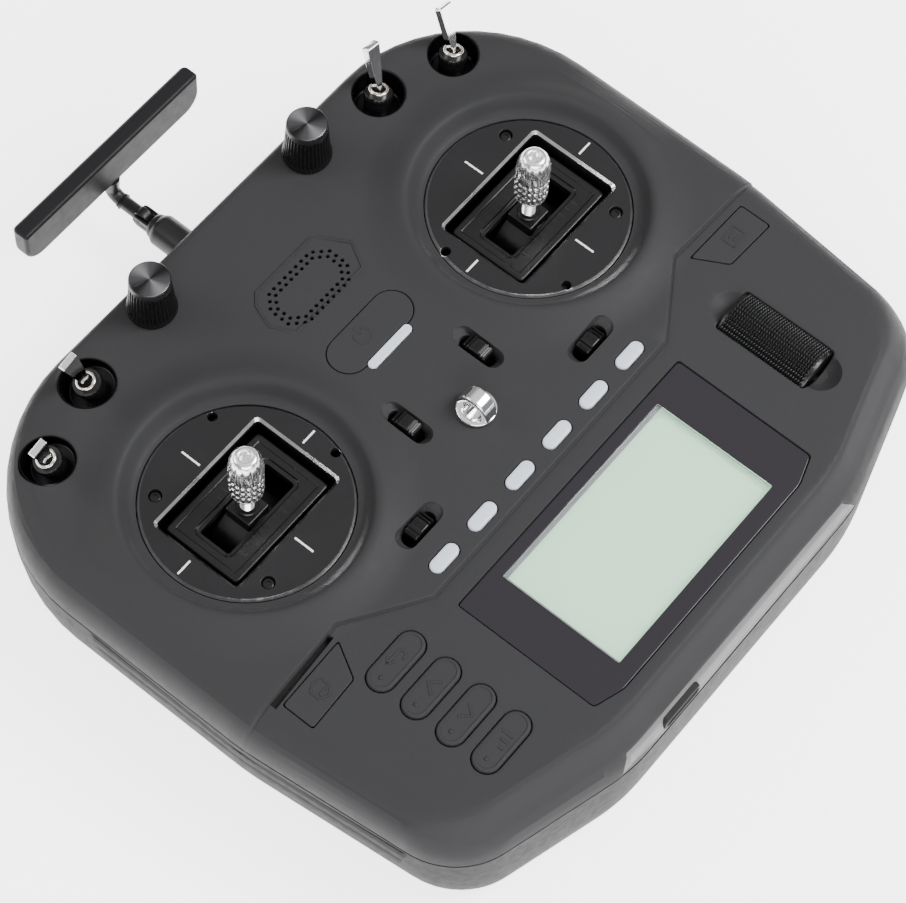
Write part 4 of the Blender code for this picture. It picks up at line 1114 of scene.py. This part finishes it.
def stick_end(x, y, word, body):
    """A knurled grip: three bands of pyramids, then a crown of flutes round a hollow top."""
    crown_foot = 10.8
    profile = [(3.0, 0.1, 0.0), (4.3, 0.1, 0.0), (4.85, 0.6, 0.0), (4.9, 1.0, 0.0)]
    for band in range(3):
        low = 1.2 + band * 3.0
        profile += [(4.7, low, 0.0), (4.75, low + 0.1, 0.1), (5.05, low + 0.35, 0.5),
                    (5.1, low + 0.5, 0.55), (5.1, low + 2.3, 0.55), (5.05, low + 2.45, 0.5),
                    (4.75, low + 2.7, 0.1), (4.7, low + 2.8, 0.0)]
    profile += [(4.9, 10.4, 0.1), (5.1, 10.9, 0.35), (5.15, 12.0, 0.45), (5.15, 14.0, 0.45), (5.0, 15.8, 0.4),
                (4.7, 17.3, 0.3), (4.3, 18.5, 0.15), (3.7, 19.5, 0.0), (3.0, 20.2, 0.0), (2.3, 20.4, 0.0),
                (1.8, 20.2, 0.0), (1.6, 19.6, 0.0), (1.5, 17.5, 0.0)]

    def cut(a, row):
        _, up, depth = profile[row]
        teeth, power = (18, 2) if up < crown_foot else (12, 4)
        return -depth * (0.5 + 0.5 * cos(a * teeth)) ** power

    place = Matrix.Translation((x, y, STICK_TOP_Z - STICK_END_LENGTH))
    bm = turned([row[:2] for row in profile], 288, place, wave=cut)
    show(word + "_stick_grip", bm, ALLOY, body, [word + "_stick_end"], sharp=60)


# ---------------------------------------------------------------- switches, dials, wheel, trims


def toggle(name):
    """A toggle switch in its black well: collar, nut, bush and a flat lever."""
    place, (_, _, radius, lean) = toggle_frame(name), TOGGLES[name]
    rim_z = FACE_Z - 0.45

    def rim(r):
        return [Vector((*p, rim_z)) for p in well_outline(name, r, rim_z)]

    def level(r, z):
        return [place @ Vector((x, y, z)) for x, y in circle((0, 0), r, 40)]

    bm = loft([level(radius - 0.2, -0.8), level(radius + 0.25, 0.2), rim(radius + 0.25), rim(radius - 0.05),
               level(radius - 0.1, 1.6), level(radius - 0.5, 0.5), level(radius - 1.3, 0.0)])
    show(name + "_well", bm, WELL, "case")
    bm = rounded_prism(fixed(round_box(-6.2, 6.2, -3.9, 3.9, 0.5)), -12.5, -2.0, place=place)
    turned(((4.0, -0.5), (4.0, 3.2), (3.0, 3.5)), 40, place, bm=bm)
    nut = ((2.9, 3.5), (4.2, 3.5), (4.5, 3.8), (4.5, 5.0), (4.2, 5.4), (2.9, 5.4))
    turned(nut, 72, place, True, lambda a, row: 0.1 * cos(18 * a) if row in (2, 3) else 0.0, bm)
    show(name + "_nut", bm, BLACK, "case", sharp=45)
    bush = ((2.45, 3.6), (3.2, 3.6), (3.2, 6.4), (2.9, 6.8), (2.3, 6.8), (1.9, 5.0), (1.9, 3.6))
    bm = turned(soften(bush, 0.2, 3, closed=True), 48, place, closed=True)
    show(name + "_bush", bm, NICKEL, "case", [name + "_switch_body"], sharp=50)
    bm = turned(((1.85, 3.0), (1.85, 3.7), (0.2, 3.8)), 24, place)
    show(name + "_mouth", bm, DARK, "case")

    turn = place @ Matrix.Translation((0, 0, LEVER_PIVOT)) @ Matrix.Rotation(radians(lean), 4, "X")
    lever = ((-0.4, 0.75, 0.75), (1.0, 1.0, 1.0), (2.6, 1.2, 1.1), (5.6, 1.65, 1.15), (10.6, 2.3, 1.15),
             (15.4, 2.8, 1.15))
    rings = []
    for z, wide, deep in curve_through(lever, 3) + [(16.1, 2.82, 1.12), (16.4, 2.7, 1.0), (16.55, 2.5, 0.8)]:
        corner = min(deep * 0.95, 0.18 + 0.75 * np.clip((3.0 - z) / 2.0, 0, 1))
        rings.append([turn @ Vector((x, y, z)) for x, y in round_box(-wide, wide, -deep, deep, corner, 4)])
    show(name + "_paddle", loft(rings), CHROME, name + "_lever", [name + "_switch_lever"], sharp=35)


def dial(side, word):
    """A fluted knob under a flat cap of turned metal with a short pointer line."""
    place, body = Matrix.Translation((side * DIALS_X, DIALS_Y, 0)), word + "_dial"
    knob = ((3.4, 47.0), (7.2, 47.0), (7.5, 47.3), (7.5, 48.0), (7.4, 48.6), (7.25, 49.2), (6.9, 52.0),
            (6.6, 56.0), (6.4, 59.4), (6.3, 60.2), (6.2, 60.5), (5.9, 60.6))

    def flutes(a, row):
        return -0.4 * (0.5 + 0.5 * cos(a * 36)) ** 1.5 if 4 <= row <= 9 else 0.0

    bm = turned(knob, 288, place, wave=flutes)
    show(word + "_knob", bm, BLACK, body, [word + "_dial_knob"], sharp=40)
    bm = turned(((5.9, 60.5), (6.2, 60.6), (6.25, 60.9), (6.2, 62.5), (5.95, 62.85)), 64, place)
    show(word + "_knob_rim", bm, SATIN, body, sharp=35)
    # The cap's metal has its highlights painted into its colour.
    metal = turned_metal_painted_sheen(word + "_knob_metal_painted_sheen", (0.1, 0.1, 0.105), 0.3, (side * DIALS_X, DIALS_Y))
    bm = turned(((5.8, 62.5), (5.8, 62.85), (5.65, 62.95), (3.0, 62.98), (0.3, 63.0)), 96, place)
    show(word + "_knob_top", bm, metal, body, sharp=60)
    spin = place @ Matrix.Rotation(radians(-20), 4, "Z")
    bm = rounded_prism(box_shape(-4.9, -1.9, -0.3, 0.3, 0.12), 62.6, 63.0, top=0.04, place=spin)
    show(word + "_knob_pointer", bm, DARK, body)


def scroll_wheel():
    """A roller knurled all round with small raised pads between its plain ends."""
    rows, around, end, knurl = 33, 44, 0.9, 0.6
    half = WHEEL_LENGTH / 2
    pad_shape = ((0.0, 0.0), (0.22, 0.8), (0.5, 1.0), (0.78, 0.8))
    pitch = (2 * half - 2 * end) / rows
    lengths = [-half, -half + 0.25, -half + 0.5, -half + end]
    for k in range(rows):
        lengths += [-half + end + (k + share) * pitch for share in (0.12, 0.3, 0.7, 0.88, 1.0)]
    lengths += [half - 0.5, half - 0.25, half]

    def ring(along, radius, pad):
        points = []
        for j in range(around):
            for share, rise in pad_shape:
                a, r = 2 * pi * (j + share) / around, radius + pad * rise
                points.append((WHEEL[0] + r * sin(a), WHEEL[1] + along, WHEEL_AXIS_Z + r * cos(a)))
        return points

    rings = []
    for along in lengths:
        phase = ((along + half - end) / pitch) % 1.0
        pad = float(np.clip(min(phase, 1 - phase) / 0.3, 0, 1)) if abs(along) < half - end else 0.0
        taper = 0.5 * max(0.0, abs(along) - (half - 0.5))
        rings.append(ring(along, WHEEL_RADIUS - knurl - taper, knurl * pad))
    hub = [ring(along, 2.4, 0.0) for along in (half - 0.1, -half + 0.1)]
    show("scroll_wheel_skin", loft(rings + hub, closed=True), BLACK, "scroll_roller",
         ["scroll_wheel"], sharp=50, weighted=False)


def trim(name):
    """A rocker with two ribs at each end and a flat pad in its middle."""
    x, y, upright = TRIMS[name]
    radius = TRIM_RADIUS - 0.15
    heights = ((32, -0.2), (30, 0.0), (28, 0.1), (26, 0.15), (24.5, 0.5), (22, 0.5), (21, -0.5), (18, -0.5),
               (16.5, 0.5), (14, 0.5), (12.5, -0.3), (9, -0.2))
    half = [(3.2, -3.0)]
    for degrees, rise in heights:
        a, r = radians(degrees), radius + rise * 0.8
        half.append((r * sin(a), r * cos(a)))
    profile = [(-3.2, -3.0)] + half + [(-px, pz) for px, pz in reversed(half[1:])]
    spin = Matrix.Rotation(pi / 2 if upright else 0.0, 4, "Z")
    place = Matrix.Translation((x, y, TRIM_AXIS_Z)) @ spin @ Matrix.Rotation(pi / 2, 4, "X")
    rings = []
    for across, shrink in ((-2.25, 0.25), (-2.05, 0.05), (-1.8, 0.0), (1.8, 0.0), (2.05, 0.05), (2.25, 0.25)):
        shrunk = [(px * (1 - shrink / 12), pz - (shrink if pz > 0 else 0)) for px, pz in profile]
        rings.append([place @ Vector((px, pz, across)) for px, pz in shrunk])
    show(name + "_rocker", loft(rings), BLACK, name, [name], sharp=35)
    bm = bmesh.new()
    flat = TRIM_AXIS_Z + radius * cos(radians(8)) - 0.05
    for i in range(5):
        for j in range(7):
            px, py = (i - 2) * 0.42, (j - 3) * 0.5
            spot = (x + py, y + px) if upright else (x + px, y + py)
            dot = lambda inset, spot=spot: circle(spot, 0.15 - inset * 0.5, 6)
            rounded_prism(dot, flat - 0.2, flat + 0.1, top=0.08, steps=2, bm=bm)
    show(name + "_pad_texture", bm, BLACK, name)


# ---------------------------------------------------------------- keys


def strokes(name, body, lines, z, width=0.8, height=0.22):
    """Thin raised marks along open lines, narrower at their tops."""
    bm = bmesh.new()
    for points in lines:
        left, right = [], []
        for k, p in enumerate(points):
            a, b = Vector(points[max(k - 1, 0)]), Vector(points[min(k + 1, len(points) - 1)])
            along = (b - a).normalized()
            side = Vector((-along.y, along.x)) * width / 2
            left.append(Vector(p) + side)
            right.append(Vector(p) - side)
        outline = right + left[::-1]
        middle = [Vector(p) for p in list(points) + list(points)[::-1]]
        crest = [p * 0.75 + m * 0.25 for p, m in zip(outline, middle)]
        levels = ((outline, z - 0.2), (outline, z + height * 0.6), (crest, z + height))
        loft([[(p.x, p.y, up) for p in ring] for ring, up in levels], bm=bm)
    show(name, bm, CASE, body, sharp=30)


def cap(name, body, shape, top_z, material, edge=0.5, crown=0.0, rim=False, replaces=()):
    """A key's cap: its top edge rounded, its middle crowned, and a raised line round it if rim is set."""
    rings = [(-1.1, KEY_FOOT_Z), (-1.1, CEILING_Z - GAP), (0.0, CEILING_Z - GAP)]
    for k in range(5):
        a = pi / 2 * k / 4
        rings.append((edge * (1 - cos(a)), top_z - edge * (1 - sin(a))))
    if rim:
        rings += [(edge + 0.35, top_z), (edge + 0.5, top_z - 0.2), (edge + 0.8, top_z - 0.2)]
    if crown:
        rings += [(edge + 0.6, top_z + crown * 0.6), (edge + 1.3, top_z + crown)]
    bm = loft([[(x, y, z) for x, y in shape(inset)] for inset, z in rings])
    show(name, bm, material, body, replaces, sharp=50)


def keys():
    for k, x in enumerate(FUNCTION_KEYS_X):
        name = f"function_key_{k + 1}"
        shape = pill_shape((x, FUNCTION_KEYS_Y), FUNCTION_KEY)
        top = FACE_Z + 0.6
        cap(name + "_cap", name, shape, top, LIGHT, 0.6, crown=0.12, replaces=[name])
    top = LOWER_FACE_Z + 0.75
    for (word, lines), y in zip(PAGE_SIGNS.items(), PAGE_KEYS_Y):
        name = word + "_key"
        shape = pill_shape((PAGE_KEYS_X, y), PAGE_KEY)
        cap(name + "_cap", name, shape, top, CASE, 0.7, rim=True, replaces=[name])
        moved = [[(PAGE_KEYS_X + px, y + py) for px, py in line] for line in lines]
        strokes(name + "_sign", name, moved, top - 0.2)
        dot = ((0.65, -0.3), (0.62, 0.1), (0.45, 0.3), (0.2, 0.38))
        bm = turned(dot, 20, Matrix.Translation((PAGE_KEYS_X - 6.6, y, top - 0.2)))
        show(name + "_dot", bm, CASE, name)
    top = LOWER_FACE_Z + 0.1
    for word, mirror in (("system", -1), ("model", 1)):
        name = word + "_key"
        shape = lambda inset, m=mirror: side_key_outline(m, inset)
        cap(name + "_cap", name, shape, top, CASE, 0.3, replaces=[name])
        x, y, reach = mirror * 94.3, -23.8, 2.9
        bars = [[(x - 1.4, y + dy), (x + 1.4, y + dy)] for dy in (-0.8, 0.8)]
        sign = [arc((x, y), reach, 30, 390, 6), bars[0]]
        if mirror > 0:
            square = rectangle(x - reach, x + reach, y - reach * 0.8, y + reach * 0.8)
            sign = [square + square[:1]] + bars
        strokes(name + "_sign", name, sign, top, 0.7, 0.2)
    top, name = FACE_Z + 0.12, "power_button"
    cap("power_key_cap", name, power_shape, top, CASE, 0.25, replaces=[name])
    bar, bar_top = pill_shape((0, LIGHT_BAR_Y), LIGHT_BAR), FACE_Z + 0.25
    cap("power_light_cap", "case", bar, bar_top, LIGHT, 0.4, replaces=["power_light_bar"])
    sign = [arc((-2.5, POWER_Y + 0.6), 2.6, 125, 415, 20), [(-2.5, POWER_Y + 1.6), (-2.5, POWER_Y + 4.4)]]
    strokes("power_key_sign", name, sign, top, 0.6, 0.15)


# ---------------------------------------------------------------- eyelet and antenna


def swept(path, section):
    """A section of (across, out) pairs carried along a path in the plane of Y and Z."""
    across = Vector((1, 0, 0))
    rings = []
    for k, p in enumerate(path):
        a, b = Vector(path[max(k - 1, 0)]), Vector(path[min(k + 1, len(path) - 1)])
        out = (b - a).normalized().cross(across)
        rings.append([Vector(p) + across * u + out * v for u, v in section(k / (len(path) - 1))])
    return loft(rings)


def eyelet():
    """A round foot with a wide loop over it."""
    foot = ((5.7, 47.1), (6.0, 47.15), (6.1, 47.5), (6.05, 48.0), (5.7, 48.3), (4.8, 48.4), (3.4, 48.2),
            (1.0, 48.1))
    bm = turned(foot, 64, Matrix.Translation((0, EYELET_Y, 0)))
    show("eyelet_foot", bm, CHROME, "case", ["strap_eyelet"], sharp=50)
    reach, spring, rise, foot_z = 4.4, 48.6, 5.3, 47.6
    path = [(0, EYELET_Y - reach, foot_z)]
    for k in range(37):
        a = pi * k / 36
        path.append((0, EYELET_Y - reach * cos(a), spring + rise * sin(a)))
    path.append((0, EYELET_Y + reach, foot_z))

    def section(t):
        wide = 2.3 + 0.4 * sin(pi * t)
        return round_box(-wide, wide, -1.2, 1.2, 0.7, 4)

    show("eyelet_loop", swept(path, section), CHROME, "case", sharp=60)


def antenna():
    """The barrel with its ears and pin, the curved arm with its collars, and the bar."""
    barrel = ((4.8, 95.3), (5.2, 95.5), (5.2, 118.2), (4.6, 119.4), (4.1, 119.6), (4.1, 120.6), (3.6, 121.4))
    along_y = Matrix.Translation((0, 0, BARREL_Z)) @ Matrix.Rotation(-pi / 2, 4, "X")
    bm = turned(soften(barrel, 0.5, 4), 64, along_y)
    side_on = Matrix(((0, 0, 1, 0), (1, 0, 0, 0), (0, 1, 0, BARREL_Z), (0, 0, 0, 1)))
    ear = box_shape(119.5, KNUCKLE_Y + 2.3, -2.3, 2.3, 2.1)
    for low, high in ((-2.9, -2.0), (2.0, 2.9)):
        rounded_prism(ear, low, high, top=0.5, foot=0.5, place=side_on, bm=bm)
    pin = Matrix.Translation((0, KNUCKLE_Y, BARREL_Z)) @ Matrix.Rotation(pi / 2, 4, "Y")
    turned(((0.7, -3.1), (1.0, -2.9), (1.0, 2.9), (0.7, 3.1)), 20, pin, bm=bm)
    show("antenna_mount", bm, SATIN, "antenna_base", ["antenna_barrel"], sharp=40)

    corner = [(0, KNUCKLE_Y, BARREL_Z), (0, BAR_Y - 1.0, BARREL_Z), (0, BAR_Y - 1.0, BAR_BOTTOM_Z + 0.3)]
    path = [Vector(p) for p in curve_through(soften(corner, 7.6, 16), 3)]

    def section(t):
        collars = 0.5 * (0.16 < t < 0.2) + 0.3 * (0.22 < t < 0.26)
        return circle((0, 0), 2.25 + collars + 0.6 * max(t - 0.9, 0) * 10, 32)

    eye = soften(((1.4, -1.7), (2.9, -1.7), (2.9, 1.7), (1.4, 1.7)), 0.4, 3, closed=True)
    bm = turned(eye, 32, pin, closed=True, bm=swept(path, section))
    show("antenna_arm_skin", bm, SATIN, "antenna", ["antenna_arm"], sharp=45)

    tall = BAR_TOP_Z - BAR_BOTTOM_Z
    face_on = Matrix(((1, 0, 0, 0), (0, 0, -1, BAR_Y), (0, 1, 0, BAR_BOTTOM_Z), (0, 0, 0, 1)))

    def side(inset):
        box = rectangle(-BAR_HALF + inset, BAR_HALF - inset, inset, tall - inset)
        return fillet(box, [6.2 - inset * 0.6] * 2 + [1.0 - inset * 0.3] * 2, 8)

    bm = rounded_prism(side, -3.2, 3.2, top=1.2, foot=2.4, steps=8, place=face_on)
    show("antenna_bar_skin", bm, BAR, "antenna", ["antenna_bar"], sharp=50)


# ---------------------------------------------------------------- floor, light, camera


FLOOR_RADIUS = 2500.0


def soft_light(name, place, target, size, power):
    """A rectangular lamp; places and size in metres, power in watts."""
    light = bpy.data.lights.new(name, "AREA")
    light.shape = "RECTANGLE"
    light.size, light.size_y = size
    light.energy = power
    lamp = bpy.data.objects.new(name, light)
    lamp.location = place
    lamp.rotation_euler = (Vector(target) - Vector(place)).to_track_quat("-Z", "Y").to_euler()
    bpy.context.scene.collection.objects.link(lamp)


def studio():
    world = bpy.data.worlds.new("studio")
    world.use_nodes = True
    tree = world.node_tree
    direction = tree.nodes.new("ShaderNodeTexCoord")
    split = tree.nodes.new("ShaderNodeSeparateXYZ")
    tree.links.new(direction.outputs["Generated"], split.inputs["Vector"])
    dome = tree.nodes.new("ShaderNodeMapRange")
    dome.interpolation_type = "SMOOTHSTEP"
    for name, value in (("From Min", 0.4), ("From Max", 0.85), ("To Min", 0.3), ("To Max", 0.95)):
        dome.inputs[name].default_value = value
    tree.links.new(split.outputs["Z"], dome.inputs["Value"])
    tree.nodes["Background"].inputs["Color"].default_value = (1.0, 1.0, 1.0, 1)
    tree.links.new(dome.outputs["Result"], tree.nodes["Background"].inputs["Strength"])
    bpy.context.scene.world = world
    soft_light("key_light", (0.55, -0.55, 0.95), (0, 0, 0.03), (0.6, 0.6), 20.0)
    soft_light("edge_light", (-0.75, -0.8, 0.62), (-0.02, 0, 0.03), (1.3, 0.45), 14.0)
    soft_light("back_light", (-0.5, 0.9, 0.7), (0, 0, 0.03), (0.8, 0.4), 6.0)
    bm = loft([[(x, y, z) for x, y in circle((0, 0), FLOOR_RADIUS, 64)] for z in (-6.0, -0.02)])
    bmesh.ops.scale(bm, vec=(MM, MM, MM), verts=bm.verts)
    mesh = bpy.data.meshes.new("pale_floor")
    bm.to_mesh(mesh)
    bm.free()
    floor = bpy.data.objects.new("pale_floor", mesh)
    paper = finish("floor_paper", (0.9, 0.9, 0.9), 0.7, grain=2.0, relief=0.01, mottle=0.01)
    mesh.materials.append(glow(paper, (1.0, 1.0, 1.0), 3.0))
    bpy.context.scene.collection.objects.link(floor)


def camera():
    """A long lens above the left front corner, rolled a little."""
    view = bpy.data.cameras.new("camera")
    view.lens = CAMERA_LENS
    view.sensor_width = 36.0
    view.clip_start = 0.01
    eye = bpy.data.objects.new("camera", view)
    turn = Matrix.Rotation(radians(CAMERA_AZIMUTH), 4, "Z")
    tip = Matrix.Rotation(radians(90 - CAMERA_ELEVATION), 4, "X")
    roll = Matrix.Rotation(radians(CAMERA_ROLL), 4, "Z")
    aim = Matrix.Translation(Vector(CAMERA_TARGET) * MM) @ turn @ tip @ roll
    eye.matrix_world = aim @ Matrix.Translation((0, 0, CAMERA_DISTANCE * MM))
    bpy.context.scene.collection.objects.link(eye)
    bpy.context.scene.camera = eye


# ---------------------------------------------------------------- CAD nodes that stay


CAD_FINISH = {
    "board": BOARD, "speaker": BLACK, "display_panel": LCD, "frame": SATIN, "axle": SATIN,
    "eyelet": CHROME, "grip": GRIP, "strip": STRIP_ROUGH, "lens": LENS, "light": LIGHT, "function": LIGHT,
    "switch": CHROME, "antenna": BLACK, "trim": BLACK, "dial": BLACK, "wheel": BLACK, "plate": PLATE,
    "cradle": BLACK, "stick_end": ALLOY, "stick": BLACK,
}


def dress_cad_nodes():
    for name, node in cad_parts.items():
        words = [word for word in CAD_FINISH if word in name]
        material = CAD_FINISH[words[0]] if words else CASE
        if name == "battery":
            material = CELL
        node.data.materials.clear()
        node.data.materials.append(material)
        for face in node.data.polygons:
            face.material_index = 0


dress_cad_nodes()
top_shell()
bottom_shell()
rear_cover()
front_strip()
side_grips()
screen()
for side, word in ((-1, "left"), (1, "right")):
    gimbal_plate(side, word)
    gimbal_cradle(side, word)
    stick(side, word)
    dial(side, word)
for name in TOGGLES:
    toggle(name)
for name in TRIMS:
    trim(name)
scroll_wheel()
keys()
eyelet()
antenna()
studio()
camera()
